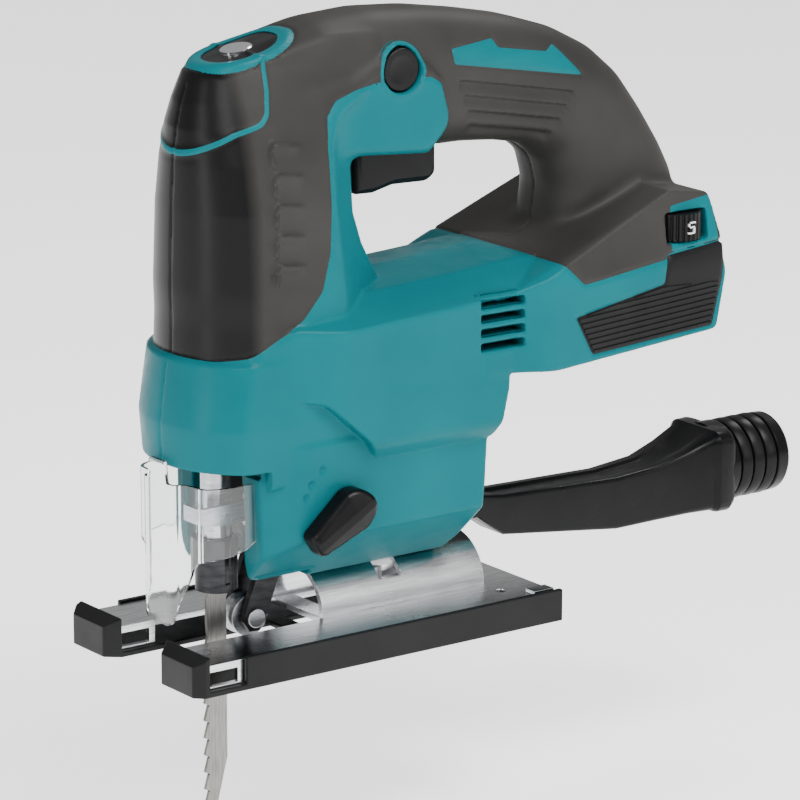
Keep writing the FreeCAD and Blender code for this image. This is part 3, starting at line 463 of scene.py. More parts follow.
def mount_field(g):
    """Battery mount: flat sides that lean in above a crease, and a top that slopes down to the sides."""
    half = 38.0 - 3.4 * (1 - ramp(g.x, 92, 110))
    body = rounded_extrusion(g.side(MOUNT, 1.0), g.y, half, 1.0)
    lean = (np.abs(g.y) - half + (g.z - 115.4) * 0.16) * 0.985
    ridge = np.minimum(127.5 + (g.x - 112) * 0.37, 146.4 - np.maximum(g.x - 166, 0) * 0.40)
    edge = np.minimum(122.4 + (g.x - 115.7) * 0.40, 140.2 - np.maximum(g.x - 160, 0) * 0.14)
    top = ridge + (edge - ridge) * np.clip((np.abs(g.y) - 17) / 17.0, 0, 1.4)
    band = (BULGE_HALF - np.abs(g.y)) * BAND_SLOPE
    roof = 113.4 + EAVE_RISE * (g.x - 85)
    roof = roof + np.minimum(band, CROWN_LIFT + (CROWN_HALF - np.abs(g.y)) * CROWN_SLOPE)
    top = np.minimum(top, np.maximum(roof, edge))
    return smax(smax(body, lean, 0.5), (g.z - top) * 0.86, 0.6)


def handle_field(g):
    bar = rounded_extrusion(g.side(HANDLE_OUT, 2.0), g.y, 17.6, 14.5)
    pod = rounded_extrusion(g.side(POD, 1.0), g.y, 20.0, 3.0)
    return smin(bar, pod, 2.0)


def bell(distance, height, width):
    return height * np.exp(-(distance / width) ** 2)


def lip(distance, above, below):
    """Bell with one width above its peak and another below."""
    return np.exp(-(np.maximum(distance, 0) / above) ** 2) * np.exp(-(np.minimum(distance, 0) / below) ** 2)


def grip_relief(g, body):
    """Arched ridges on the front leg and louvre steps on the handle."""
    height = np.zeros(1, np.float32)
    for i in range(RIDGES):
        z = RIDGE_TOP - RIDGE_PITCH * i
        bow = z + 1.4 - np.maximum(g.x - 7.0, 0) * 0.12 - (np.maximum(7.0 - g.x, 0) / 2.4) ** 2 * 2.6
        height = height + 1.75 * lip(g.z - bow, 0.7, 2.6) * ramp(g.x, 3.9, 5.1) * (1 - ramp(g.x, 11.5, 18.5))
        drop = 1.2 * lip(g.x - 4.8, 1.5, 0.6)
        height = height + drop * ramp(g.z, z - 6.6, z - 4.8) * (1 - ramp(g.z, z - 2.2, z - 0.4))
    height = height * ramp(np.abs(g.y), 14, 18)
    slope = -0.187
    for i in range(LOUVRES):
        line = LOUVRE_TOP - LOUVRE_PITCH * i + slope * (g.x - 85)
        left, right = 84.0 + 1.8 * i, 133.0 - 2.6 * i
        span = ramp(g.x, left, left + 2) * (1 - ramp(g.x, right - 2, right))
        height = height - 1.15 * lip(g.z - line, 0.45, 2.4) * span * ramp(np.abs(g.y), 10, 13)
    return body - height


def cap_field(x, y):
    u, v = (x - CAP_CENTRE[0]) / CAP_RADII[0], (y - CAP_CENTRE[1]) / CAP_RADII[1]
    return ((np.abs(u) ** 2.3 + np.abs(v) ** 2.3) ** (1 / 2.3) - 1) * 15.5


def parting(g, body):
    """Fine grooves where the mouldings meet, and the soft skin standing back from the hard shell."""
    dark = g.side(DARK, 0.6)
    low = 1 - ramp(g.z, 112, 126)
    body = body + 0.7 * (1 - ramp(dark, -0.8, 0.4)) * low * (1 - ramp(g.x, 10, 30))
    body = body + bell(dark, 0.55, 0.55)
    body = body + bell(g.side(PANEL, 0.4), 0.45, 0.5) * (np.abs(g.y) > 30)
    body = body + bell(g.side(BADGE, 0.3), 0.5, 0.5) * (np.abs(g.y) > 6)
    body = body + bell(g.y, 0.45, 0.45) * (g.z < 190)
    piping = np.abs(g.side(PIPING_AREA, 0.6))
    body = body - bell(piping, 0.45, 0.9)
    rim = cap_field(g.x, g.y)
    above = g.z > 186 + 0.19 * g.x
    body = body + bell(rim, 0.6, 0.5) * above
    body = body - bell(rim + 2.4, 0.5, 1.5) * above
    ring = np.hypot(g.x - BUTTON[0], g.z - BUTTON[1])
    return body - bell(ring - 8.3, 0.55, 0.8) * (np.abs(g.y) > 10)


def housing_body(g):
    body = smin(column_field(g), bulge_field(g), 0.9)
    body = smin(body, mount_field(g), 1.0)
    body = smin(body, handle_field(g), 4.0)
    body = np.maximum(body, HEAD_BOTTOM - g.z - np.where(g.x > 2.5, 60, 0))
    body = smin(body, lower_field(g), 0.8)
    return parting(g, grip_relief(g, body))


def housing_cuts(g, body, side):
    """Pockets and windows. side is -1 for the left half, which has the button, the dial and the lever."""
    def cut(solid, k=0.7):
        nonlocal body
        body = smax(body, -solid, k)

    def block(x0, x1, y0, y1, z0, z1, radius=0.6):
        q = [np.abs(p - (a + b) / 2) - (b - a) / 2 + radius
             for p, a, b in ((g.x, x0, x1), (np.abs(g.y), y0, y1), (g.z, z0, z1))]
        out = np.sqrt(sum(np.maximum(d, 0) ** 2 for d in q))
        return out + np.minimum(np.maximum(np.maximum(q[0], q[1]), q[2]), 0) - radius

    # the channel round the clamp and roller, the hollow head, the shoe's arch, the pipe, trigger and battery
    cut(block(2, 27, -14.6, 14.6, 0, HEAD_BOTTOM + 4, 0.4))
    cut(block(-6, 20, -14.6, 14.6, 0, HEAD_BOTTOM - 0.2, 0.4), 0.3)
    inner = np.maximum(np.maximum(column_field(g) + 3.6, g.z - HEAD_BOTTOM - 12), g.x - 3.0)
    cut(np.maximum(inner, np.abs(g.y) - 24.4), 0.5)
    cut(np.hypot(g.y, g.z - TILT_Z) - 16.5)
    cut(block(66, 110, -8.6, 8.6, 20, 38.8))
    cut(block(49.2, 83.8, -9.1, 9.1, 140, 172))
    cut(block(114, 200, -31, 31, 60, 98))
    for low, high in VENTS:
        cut(block(VENT_X[0], VENT_X[1] + 6, 24, 60, low, high, 0.3), 0.3)
    if side < 0:
        button = np.hypot(g.x - BUTTON[0], g.z - BUTTON[1])
        cut(smax(button - 7.5, 4.5 - np.abs(g.y), 0.1), 0.8)
        cut(block(DIAL[0] - 8.8, DIAL[0] + 8.8, 20.8, 60, 122.4, 132.6, 1.0), 0.7)
        cut(smax(np.hypot(g.x - LEVER[0], g.z - LEVER[1]) - 4.4, 10 - np.abs(g.y), 0.1), 0.5)
        for dx, dz in LEVER_DOTS:
            x, z = g.x - LEVER[0] - dx, g.z - LEVER[1] - dz
            cut(np.sqrt(x ** 2 + (np.abs(g.y) - DOT_Y) ** 2 + z ** 2) - 1.5, 0.2)
    else:
        for x, z in SCREWS:
            half = surface_half(g, body, x, z)
            cut(smax(np.hypot(g.x - x, g.z - z) - 3.9, half - 3.4 - np.abs(g.y), 0.1), 0.5)
    return body


def surface_half(g, body, x, z):
    """Half width of the housing at one place seen from the side."""
    line = body[int(round((x - g.low[0]) / g.cell)), :, int(round((z - g.low[2]) / g.cell))]
    return float(g.ys[np.nonzero(line < 0)[0].max()])


def build_housing(materials):
    grid = Grid((-26, -1.4, 22), (186, 40.5, 212), CELL)
    body = housing_body(grid)
    dark, panel, badge = Flat(DARK, 0.6), Flat(PANEL, 0.4), Flat(BADGE, 0.3)
    plate, nose_panel = Flat(DIAL_PLATE, 0.4), Flat(PIPING_AREA, 0.6)
    caps, trims = [], []
    screws = [(x, z, surface_half(grid, body, x, z)) for x, z in SCREWS]
    x, y, z = 0, 1, 2        # columns of an array of points

    def cap_value(p):
        return np.maximum(cap_field(p[:, x], p[:, y]), 186 + 0.19 * p[:, x] - p[:, z])

    def dark_value(p):
        ring = np.hypot(p[:, x] - BUTTON[0], p[:, z] - BUTTON[1]) - 9.1
        ring = np.maximum(ring, 12 - np.abs(p[:, y]))
        window = np.maximum(plate(p[:, x], p[:, z]), 26 - np.abs(p[:, y]))
        return np.maximum(dark(p[:, x], p[:, z]), -np.minimum(ring, window))

    def badge_value(p):
        return np.maximum(badge(p[:, x], p[:, z]), 8 - np.abs(p[:, y]))

    def panel_value(p):
        return np.maximum(panel(p[:, x], p[:, z]), 34 - np.abs(p[:, y]))

    def piping_value(p):
        return np.abs(nose_panel(p[:, x], p[:, z])) - 0.75

    def split(surface, value):
        level = value(surface[0])
        return clip(*surface, level), clip(*surface, -level)

    for side, word in ((-1, "left"), (1, "right")):
        points, triangles = net(grid, housing_cuts(grid, body, side))
        points, triangles = clip(points, triangles, -points[:, 1])
        points[:, 1] *= side
        if side < 0:
            triangles = triangles[:, ::-1]
        cap, rest = split((points, triangles), cap_value)
        skin, hard = split(rest, dark_value)
        panel_part, hard = split(hard, panel_value)
        badge_part, skin = split(skin, badge_value)
        trim, skin = split(skin, piping_value)
        caps.append(cap)
        trims.append(trim)
        for key, surface, name, slot, node, wall in (
                ("hard", hard, "housing_shell_", "shell", "housing_", WALL),
                ("soft", skin, "grip_skin_", "soft_grip", "grip_", WALL),
                ("hard", badge_part, "badge_", "shell", "handle_badge_", 1.4),
                ("dark", panel_part, "battery_panel_skin_", "dark_plastic", "battery_panel_", 1.4)):
            p, t = drop_crumbs(*surface)
            mesh = mesh_from_arrays(name + word, *thicken(p, t, wall))
            add_object(name + word, mesh, "housing", materials[key], [node + word])
    for name, halves, wall, replaced in (
            ("cap_rim", caps, WALL, ["head_cap"]), ("nose_piping", trims, 0.8, [])):
        points = np.concatenate([half[0] for half in halves])
        triangles = np.concatenate([halves[0][1], halves[1][1] + len(halves[0][0])])
        points, triangles = drop_crumbs(*tidy_mesh(points, triangles), least=20)
        if name == "cap_rim":
            lens = cap_field(points[:, 0], points[:, 1]) + 4.6
            black = clip(points, triangles, lens)
            points, triangles = clip(points, triangles, -lens)
            sunk = black[0] - vertex_normals(*black) * 0.3
            mesh = mesh_from_arrays("cap_window", *thicken(sunk, black[1], 1.4))
            add_object("cap_window", mesh, "housing", materials["gloss"], ["cap_lens"])
            spot = black[0][np.argmin(np.hypot(black[0][:, 0] - 9.5, black[0][:, 1]))]
        mesh = mesh_from_arrays(name, *thicken(points, triangles, wall))
        add_object(name, mesh, "housing", materials["hard"], replaced)
    return spot, screws


# ------------------------------------------------------------------ small built pieces
def bevelled(piece, width, angle):
    """Rounded edges with clean shading."""
    modifier = piece.modifiers.new("edges", "BEVEL")
    modifier.width = width * MM
    modifier.segments = 2
    modifier.limit_method = "ANGLE"
    modifier.angle_limit = math.radians(angle)
    modifier.harden_normals = False
    for polygon in piece.data.polygons:
        polygon.use_smooth = True
    piece.data.set_sharp_from_angle(angle=math.radians(angle))
    normals = piece.modifiers.new("normals", "WEIGHTED_NORMAL")
    normals.keep_sharp = False


def mesh_from(name, made):
    """Mesh of what was made, which is then let go."""
    mesh = bpy.data.meshes.new(name)
    made.to_mesh(mesh)
    made.free()
    return mesh


def prism(name, outline, y0, y1, more=(), upright=False):
    """Plate of an outline (X, Z) between two Y values; more adds further (outline, y0, y1).

    An upright plate has its outline in (X, Y) and lies between two Z values.
    """
    made = bmesh.new()
    for ring, a, b in [(outline, y0, y1), *more]:
        low, high = ([made.verts.new(Vector((u, w, end) if upright else (u, end, w)) * MM) for u, w in ring]
                     for end in (a, b))
        made.faces.new(low)
        made.faces.new(high)
        for i in range(len(ring)):
            j = (i + 1) % len(ring)
            made.faces.new([low[i], low[j], high[j], high[i]])
    bmesh.ops.recalc_face_normals(made, faces=made.faces)
    return mesh_from(name, made)


def lathe(name, profile, axis, centre, sides=48):
    """Solid of revolution: profile of (radius, height) about an axis through a centre, in millimetres."""
    axis = Vector(axis).normalized()
    across = axis.orthogonal().normalized()
    other = axis.cross(across)
    made = bmesh.new()
    rings = []
    for radius, height in profile:
        base = Vector(centre) + axis * height
        if radius < 1e-6:
            rings.append([made.verts.new(base * MM)])
            continue
        ring = []
        for i in range(sides):
            turn = 2 * math.pi * i / sides
            offset = (across * math.cos(turn) + other * math.sin(turn)) * radius
            ring.append(made.verts.new((base + offset) * MM))
        rings.append(ring)
    for a, b in zip(rings, rings[1:]):
        for i in range(sides):
            j = (i + 1) % sides
            corners = [a[i % len(a)], a[j % len(a)], b[j % len(b)], b[i % len(b)]]
            unique = []
            for corner in corners:
                if corner not in unique:
                    unique.append(corner)
            if len(unique) > 2:
                made.faces.new(unique)
    bmesh.ops.recalc_face_normals(made, faces=made.faces)
    mesh = mesh_from(name, made)
    for polygon in mesh.polygons:
        polygon.use_smooth = True
    mesh.set_sharp_from_angle(angle=SHARP)
    return mesh


def joined(name, meshes):
    made = bmesh.new()
    for mesh in meshes:
        made.from_mesh(mesh)
        bpy.data.meshes.remove(mesh)
    mesh = mesh_from(name, made)
    mesh.set_sharp_from_angle(angle=SHARP)
    return mesh


def cut_ring(ring, a, b, c):
    """Part of a convex outline where a*x + b*z <= c."""
    kept = []
    for (x0, z0), (x1, z1) in zip(ring, ring[1:] + ring[:1]):
        d0, d1 = a * x0 + b * z0 - c, a * x1 + b * z1 - c
        if d0 <= 0:
            kept.append((x0, z0))
        if (d0 < 0) != (d1 < 0):
            t = d0 / (d0 - d1)
            kept.append((x0 + t * (x1 - x0), z0 + t * (z1 - z0)))
    return kept


def build_panel_ribs(materials):
    """Fine ribs along each battery panel."""
    slope = 3.0 / 51.0
    pieces = []
    for i in range(RIBS):
        low = RIB_LOW + RIB_PITCH * i
        ring = cut_ring(cut_ring(RIBBED, slope, -1, -low), -slope, 1, low + RIB_HEIGHT)
        if len(ring) > 2:
            pieces.append(ring)
    for word, y0, y1 in (("left", -38.45, -37.6), ("right", 37.6, 38.45)):
        mesh = prism("ribs", pieces[0], y0, y1, [(ring, y0, y1) for ring in pieces[1:]])
        add_object("battery_ribs_" + word, mesh, "housing", materials["dark"])


def build_lever(materials):
    """Orbital change lever: a tapered knob with a spine."""
    grid = Grid((9, -39.2, 34), (42, -29, 61), 0.32)
    ax, az = LEVER
    bx, bz = LEVER[0] + LEVER_TIP[0], LEVER[1] + LEVER_TIP[1]
    length = math.hypot(bx - ax, bz - az)
    ux, uz = (bx - ax) / length, (bz - az) / length
    forward = (grid.x - ax) * ux + (grid.z - az) * uz
    aside = -(grid.x - ax) * uz + (grid.z - az) * ux
    t = np.clip(forward / length, 0, 1)
    flat = np.hypot(forward - t * length, aside) - (7.6 - 2.6 * t)
    flat = smax(flat, forward - length - 3.6, 1.2)
    height = 38.6 - 0.05 * np.maximum(forward, 0) - 0.34 * np.maximum(np.abs(aside) - 1.4, 0)
    body = smax(smax(flat, -grid.y - height, 2.2), grid.y + 30.5, 0.3)
    points, triangles = net(grid, body)
    mesh = mesh_from_arrays("change_lever", points, triangles, sharp=50)
    add_object("change_lever", mesh, "orbital", materials["gloss_dark"], ["orbital_lever"])


def build_dial(materials):
    """Thumb wheel with a toothed edge; its generic figure stands on the side that faces the window."""
    box_low, box_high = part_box("speed_dial")
    low, high = box_low.z / MM, box_high.z / MM
    root = DIAL_RADIUS - 0.7
    outline = []
    for i in range(DIAL_TEETH):
        for part, r in ((0.0, root), (0.25, DIAL_RADIUS), (0.6, DIAL_RADIUS), (0.85, root)):
            turn = 2 * math.pi * (i + part) / DIAL_TEETH
            outline.append((DIAL[0] + r * math.cos(turn), DIAL[1] + r * math.sin(turn)))
    wheel = prism("thumb_wheel", outline, low, high, upright=True)
    wheel.set_sharp_from_angle(angle=SHARP)
    add_object("thumb_wheel", wheel, "dial", materials["dark"], ["speed_dial"])
    strokes = [(164.9, 129.2, 167.3, 129.2), (164.9, 127.6, 164.9, 129.2), (164.9, 127.6, 166.9, 127.6),
               (167.1, 125.8, 167.1, 127.4), (164.8, 125.6, 166.9, 125.6)]
    front, back = DIAL[1] - DIAL_RADIUS - 0.12, DIAL[1] - DIAL_RADIUS + 0.7
    bars = []
    for x0, z0, x1, z1 in strokes:
        x0, z0, x1, z1 = x0 - 0.24, z0 - 0.24, x1 + 0.24, z1 + 0.24
        bars.append(([(x0, z0), (x1, z0), (x1, z1), (x0, z1)], front, back))
    mesh = prism("dial_figure", *bars[0], bars[1:])
    add_object("dial_figure", mesh, "dial", materials["white_print"])


def build_screws(materials, screws):
    """Pan-head screws with a round recess, each about as long as the housing is wide there."""
    meshes = []
    for x, z, half in screws:
        head = half - 2.2
        profile = [(0, head - 1.2), (1.1, head - 1.2), (1.3, head - 0.4), (1.5, head), (2.7, head - 0.1),
                   (3.2, head - 0.7), (3.3, head - 1.9), (1.6, head - 2.1), (1.5, 4 - half), (1.0, 3 - half),
                   (0, 3 - half)]
        meshes.append(lathe("screw", profile, (0, 1, 0), (x, 0, z), 24))
    mesh = joined("case_screws", meshes)
    add_object("case_screws", mesh, "housing", materials["screw"], ["housing_screws"])


def duct_section(x, half, low, high, corner, groove):
    """One cross section of the dust pipe: a rounded rectangle with a shallow groove in its top."""
    points = []
    for sy, sz, start in ((1, -1, -90), (1, 1, 0), (-1, 1, 90), (-1, -1, 180)):
        y, z = sy * (half - corner), (low + corner if sz < 0 else high - corner)
        for k in range(5):
            turn = math.radians(start + 22.5 * k)
            points.append((x, y + corner * math.cos(turn), z + corner * math.sin(turn)))
        if sy > 0 and sz > 0:
            points += [(x, 0.52 * half, high), (x, 0.44 * half, high - groove),
                       (x, -0.44 * half, high - groove), (x, -0.52 * half, high)]
    return points


def build_nozzle(materials):
    """Dust pipe lofted into its flared end, and the round cuff with its turned grooves."""
    rings = [duct_section(*station) for station in DUCT]
    points = np.array([point for ring in rings for point in ring], float)
    size = len(rings[0])
    triangles = []
    for i in range(len(rings) - 1):
        for k in range(size):
            a, b = i * size + k, i * size + (k + 1) % size
            triangles += [(a, b, a + size), (b, b + size, a + size)]
    points, triangles = thicken(points, np.array(triangles), 1.4)
    mesh = mesh_from_arrays("dust_pipe", points, triangles, sharp=24)
    add_object("dust_pipe", mesh, "nozzle", materials["gloss_dark"], ["nozzle_tube"])
    profile = [(12.0, 203.6), (12.0, 232.2), (12.4, 232.9), (13.5, 232.9), (14.0, 232.3)]
    for x in CUFF_GROOVES:
        profile += [(14.2, x + 0.9), (13.9, x + 0.5), (13.0, x + 0.4)]
        profile += [(13.0, x - 0.4), (13.9, x - 0.5), (14.4, x - 0.9)]
    profile += [(14.5, 207.0), (14.5, 203.6), (12.0, 203.6)]
    mesh = lathe("hose_cuff", profile, (1, 0, 0), (0, 0, NOZZLE_Z), 72)
    add_object("hose_cuff", mesh, "nozzle", materials["gloss_dark"], ["nozzle_cuff"])


def build_guard(materials):
    """Clear chip guard: one bent sheet with a channel down the front, a grip tab and two rounded wings."""
    path = [np.array(p, float) for p in GUARD_PATH]
    for _ in range(3):
        fine = [path[0]]
        for p, q in zip(path, path[1:]):
            fine += [0.75 * p + 0.25 * q, 0.25 * p + 0.75 * q]
        path = fine + [path[-1]]
    path = np.array([(x, -y) for x, y in path[::-1]] + [(x, y) for x, y in path])
    travel = np.concatenate([[0], np.cumsum(np.hypot(*np.diff(path, axis=0).T))])
    steps = np.linspace(0, travel[-1], 241)
    x, y = np.interp(steps, travel, path[:, 0]), np.interp(steps, travel, path[:, 1])
    out = np.abs(steps - travel[-1] / 2)
    low = np.interp(out, [d for d, _ in GUARD_LOW], [z for _, z in GUARD_LOW])
    high = 62.0 + 7.2 * (1 - ramp(out, 4.2, 5.6))
    high = high - 1.8 * np.clip((out - out.max() + 2.5) / 2.5, 0, 1) ** 2
    rows = 30
    level = np.linspace(0, 1, rows)[None, :]
    z = low[:, None] + (high - low)[:, None] * level
    points = np.stack([np.repeat(x[:, None], rows, 1), np.repeat(y[:, None], rows, 1), z], -1).reshape(-1, 3)
    triangles = []
    for i in range(len(steps) - 1):
        for k in range(rows - 1):
            a, b = i * rows + k, (i + 1) * rows + k
            triangles += [(a, a + 1, b), (b, a + 1, b + 1)]
    triangles = np.array(triangles)
    middle = len(steps) // 2 * rows
    if vertex_normals(points, triangles)[middle][0] > 0:
        triangles = triangles[:, ::-1]
    points, triangles = thicken(points, triangles, 1.2)
    mesh = mesh_from_arrays("chip_guard", points, triangles, sharp=50)
    add_object("chip_guard", mesh, "guard", materials["clear"], ["dust_cover"])


def dress(name, body, material, width):
    """Copy of a CAD node with rounded edges, standing for the node."""
    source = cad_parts[name]
    work = bmesh.new()
    work.from_mesh(source.data)
    bmesh.ops.remove_doubles(work, verts=work.verts, dist=2e-6)
    bmesh.ops.dissolve_limit(work, angle_limit=math.radians(0.8), verts=work.verts, edges=work.edges,
                             delimit={"NORMAL"})
    mesh = mesh_from(name + "_piece", work)
    bevelled(add_object(name + "_piece", mesh, body, material, [name]), width, 32)


# ------------------------------------------------------------------ materials
def graph(name):
    material = bpy.data.materials.new(name)
    material.use_nodes = True
    tree = material.node_tree
    place = tree.nodes.new("ShaderNodeTexCoord").outputs["Object"]
    return material, tree, tree.nodes["Principled BSDF"], place


def link_finish(tree, shader, colour, rough):
    tree.links.new(colour, shader.inputs["Base Color"])
    tree.links.new(rough, shader.inputs["Roughness"])


def node(tree, kind, **inputs):
    made = tree.nodes.new(kind)
    for key, value in inputs.items():
        made.inputs[key.replace("_", " ")].default_value = value
    return made


def noise(tree, place, scale, detail=3.0, stretch=None):
    if stretch:
        mapping = tree.nodes.new("ShaderNodeMapping")
        mapping.inputs["Scale"].default_value = stretch
        tree.links.new(place, mapping.inputs["Vector"])
        place = mapping.outputs["Vector"]
    made = node(tree, "ShaderNodeTexNoise", Scale=scale, Detail=detail)
    tree.links.new(place, made.inputs["Vector"])
    return made.outputs["Fac"]


def spread(tree, factor, low, high, start=0.35, end=0.65):
    made = tree.nodes.new("ShaderNodeMapRange")
    for key, value in (("From Min", start), ("From Max", end), ("To Min", low), ("To Max", high)):
        made.inputs[key].default_value = value
    tree.links.new(factor, made.inputs["Value"])
    return made.outputs["Result"]


def colours(tree, factor, first, second, start=0.3, end=0.7):
    ramp_node = tree.nodes.new("ShaderNodeValToRGB")
    ramp_node.color_ramp.elements[0].position = start
    ramp_node.color_ramp.elements[0].color = (*first, 1)
    ramp_node.color_ramp.elements[1].position = end
    ramp_node.color_ramp.elements[1].color = (*second, 1)
    tree.links.new(factor, ramp_node.inputs["Fac"])
    return ramp_node.outputs["Color"]


def roughened(tree, shader, factor, strength, distance):
    bump = tree.nodes.new("ShaderNodeBump")
    bump.inputs["Strength"].default_value = strength
    bump.inputs["Distance"].default_value = distance
    tree.links.new(factor, bump.inputs["Height"])
    tree.links.new(bump.outputs["Normal"], shader.inputs["Normal"])


def plastic(name, dark, light, rough, grain=2200, bump=0.12, specular=0.35):
    """Moulded plastic: faint clouding, spark-eroded grain and handling marks."""
    material, tree, shader, place = graph(name)
    cloud = noise(tree, place, 28, 4)
    marks = noise(tree, place, 130, 6)
    fine = noise(tree, place, grain, 2)
    tint = colours(tree, cloud, dark, light)
    link_finish(tree, shader, tint, spread(tree, marks, rough - 0.05, rough + 0.07))
    roughened(tree, shader, fine, bump, 0.00008)
    shader.inputs["Specular IOR Level"].default_value = specular
    return material


def soft_grip(name):
    """Soft grip moulding, glossier on the nose in front of the crease than on the sides; the sides carry a
    painted sheen, a lighter grey than the near-black nose.
    """
    material, tree, shader, place = graph(name)
    cloud = noise(tree, place, 24, 5)
    fine = noise(tree, place, 1500, 3)
    split = tree.nodes.new("ShaderNodeSeparateXYZ")
    tree.links.new(place, split.inputs["Vector"])
    nose = spread(tree, split.outputs["X"], 0.0, 1.0, -0.0035, 0.0010)
    # painted sheen: the sides behind the crease get a lighter grey than the nose, standing in for the soft
    # sheen the light lays on the skin
    side = colours(tree, cloud, (0.021, 0.020, 0.0185), (0.033, 0.0315, 0.029))
    mix = tree.nodes.new("ShaderNodeMix")
    mix.data_type = "RGBA"
    mix.inputs["A"].default_value = (0.0035, 0.0035, 0.0038, 1)
    tree.links.new(nose, mix.inputs["Factor"])
    tree.links.new(side, mix.inputs["B"])
    link_finish(tree, shader, mix.outputs["Result"], spread(tree, nose, 0.33, 0.52, 0.0, 1.0))
    roughened(tree, shader, fine, 0.18, 0.00008)
    shader.inputs["Specular IOR Level"].default_value = 0.16
    return material


def metal(name, dark, light, rough, stretch=(1, 1, 1), scale=160, bump=0.08):
    """Machined or rolled metal: streaks, dull patches and fine scratches."""
    material, tree, shader, place = graph(name)
    streak = noise(tree, place, scale, 5, stretch)
    patch = noise(tree, place, 35, 4)
    tint = colours(tree, streak, dark, light, 0.25, 0.75)
    link_finish(tree, shader, tint, spread(tree, patch, rough - 0.07, rough + 0.1))
    roughened(tree, shader, streak, bump, 0.0001)
    shader.inputs["Metallic"].default_value = 1.0
    return material


def clear_plastic(name):
    material, tree, shader, place = graph(name)
    haze = noise(tree, place, 60, 4)
    fine = noise(tree, place, 500, 3)
    tint = colours(tree, haze, (0.93, 0.95, 0.95), (0.99, 1.0, 1.0))
    link_finish(tree, shader, tint, spread(tree, haze, 0.02, 0.09))
    roughened(tree, shader, fine, 0.03, 0.00005)
    shader.inputs["Transmission Weight"].default_value = 1.0
    shader.inputs["IOR"].default_value = 1.45
    return material


def wound_copper(name):
    material, tree, shader, place = graph(name)
    wave = node(tree, "ShaderNodeTexWave", Scale=420.0, Distortion=1.5, Detail=1.0)
    tree.links.new(place, wave.inputs["Vector"])
    tint = colours(tree, wave.outputs["Fac"], (0.30, 0.09, 0.03), (0.75, 0.30, 0.12))
    link_finish(tree, shader, tint, spread(tree, noise(tree, place, 90), 0.3, 0.45))
    roughened(tree, shader, wave.outputs["Fac"], 0.5, 0.0003)
    shader.inputs["Metallic"].default_value = 1.0
    return material


def make_materials():
    return {
        "hard": plastic("teal_shell", (0.0003, 0.104, 0.122), (0.0008, 0.124, 0.144), 0.33,
                        bump=0.05, specular=0.08),
        "soft": soft_grip("soft_grip_painted_sheen"),
        "dark": plastic("black_plastic", (0.0035, 0.0035, 0.004), (0.008, 0.008, 0.0085), 0.36,
                        specular=0.16),
        "gloss_dark": plastic("black_smooth", (0.0022, 0.0022, 0.0026), (0.0055, 0.0055, 0.006), 0.30,
                              bump=0.05, specular=0.13),
        "gloss": plastic("window_black", (0.002, 0.002, 0.0025), (0.004, 0.004, 0.005), 0.3,
                         bump=0.02, specular=0.2),
        "white_print": plastic("pale_figure", (0.70, 0.70, 0.68), (0.82, 0.82, 0.80), 0.5, bump=0.03),
        "bright": metal("rolled_steel", (0.50, 0.51, 0.52), (0.78, 0.79, 0.80), 0.22, (1, 14, 14), 90),
        "blade": metal("blade_steel", (0.16, 0.155, 0.145), (0.30, 0.29, 0.27), 0.33, (14, 1, 1), 120),
        "steel": metal("machined_steel", (0.36, 0.37, 0.39), (0.62, 0.63, 0.65), 0.28, (1, 1, 8), 200),
        "black_steel": metal("blackened_steel", (0.020, 0.020, 0.022), (0.055, 0.055, 0.058), 0.35,
                             (1, 1, 4), 150),
        "screw": metal("zinc_screw", (0.10, 0.10, 0.10), (0.22, 0.22, 0.22), 0.32),
        "disc": metal("silver_disc", (0.72, 0.73, 0.74), (0.88, 0.88, 0.89), 0.22),
        "cast": metal("cast_alloy", (0.33, 0.33, 0.34), (0.50, 0.50, 0.51), 0.5, scale=300, bump=0.3),
        "contact": metal("contact_brass", (0.55, 0.38, 0.14), (0.80, 0.62, 0.30), 0.3),
        "copper": wound_copper("wound_copper"),
        "board": plastic("circuit_board", (0.004, 0.055, 0.018), (0.010, 0.11, 0.035), 0.35,
                         grain=700, bump=0.3),
        "clear": clear_plastic("clear_guard"),
        "lamp": plastic("lamp_lens", (0.75, 0.75, 0.70), (0.9, 0.9, 0.85), 0.15, bump=0.02),
    }


# ------------------------------------------------------------------ stage
def build_stage():
    size = 6.0
    mesh = bpy.data.meshes.new("floor")
    corners = [(-size, -size, 0), (size, -size, 0), (size, size, 0), (-size, size, 0)]
    mesh.from_pydata(corners, [], [(0, 1, 2, 3)])
    floor = bpy.data.objects.new("floor", mesh)
    floor.location.z = CAD_BOX[0][2] - 0.012
    bpy.context.collection.objects.link(floor)
    paint, tree, shader, place = graph("floor_paint")
    tint = colours(tree, noise(tree, place, 3), (0.90, 0.90, 0.90), (0.94, 0.94, 0.94))
    tree.links.new(tint, shader.inputs["Base Color"])
    shader.inputs["Roughness"].default_value = 0.8
    shader.inputs["Emission Color"].default_value = (1, 1, 1, 1)
    shader.inputs["Emission Strength"].default_value = 1.35
    mesh.materials.append(paint)
    world = bpy.context.scene.world or bpy.data.worlds.new("world")
    bpy.context.scene.world = world
    world.use_nodes = True
    world.node_tree.nodes["Background"].inputs["Color"].default_value = (1, 1, 1, 1)
    world.node_tree.nodes["Background"].inputs["Strength"].default_value = 0.40
    for name, where, width, height, power in (
            ("key", (-0.75, -0.65, 0.75), 0.45, 0.45, 5.5), ("side", (0.45, -1.1, 0.5), 0.6, 0.6, 3.6),
            ("strip", (-1.05, 0.02, 0.25), 0.10, 0.9, 3.5), ("top", (0.15, -0.60, 1.0), 0.5, 0.5, 13.0),
            ("facet", (0.75, 0.33, 1.0), 0.35, 0.35, 4.0)):
        light = bpy.data.lights.new(name, "AREA")
        light.shape = "RECTANGLE"
        light.size = width
        light.size_y = height
        light.energy = power
        lamp = bpy.data.objects.new(name, light)
        lamp.location = Vector(where)
        lamp.rotation_euler = (MIDDLE - Vector(where)).to_track_quat("-Z", "Y").to_euler()
        bpy.context.collection.objects.link(lamp)


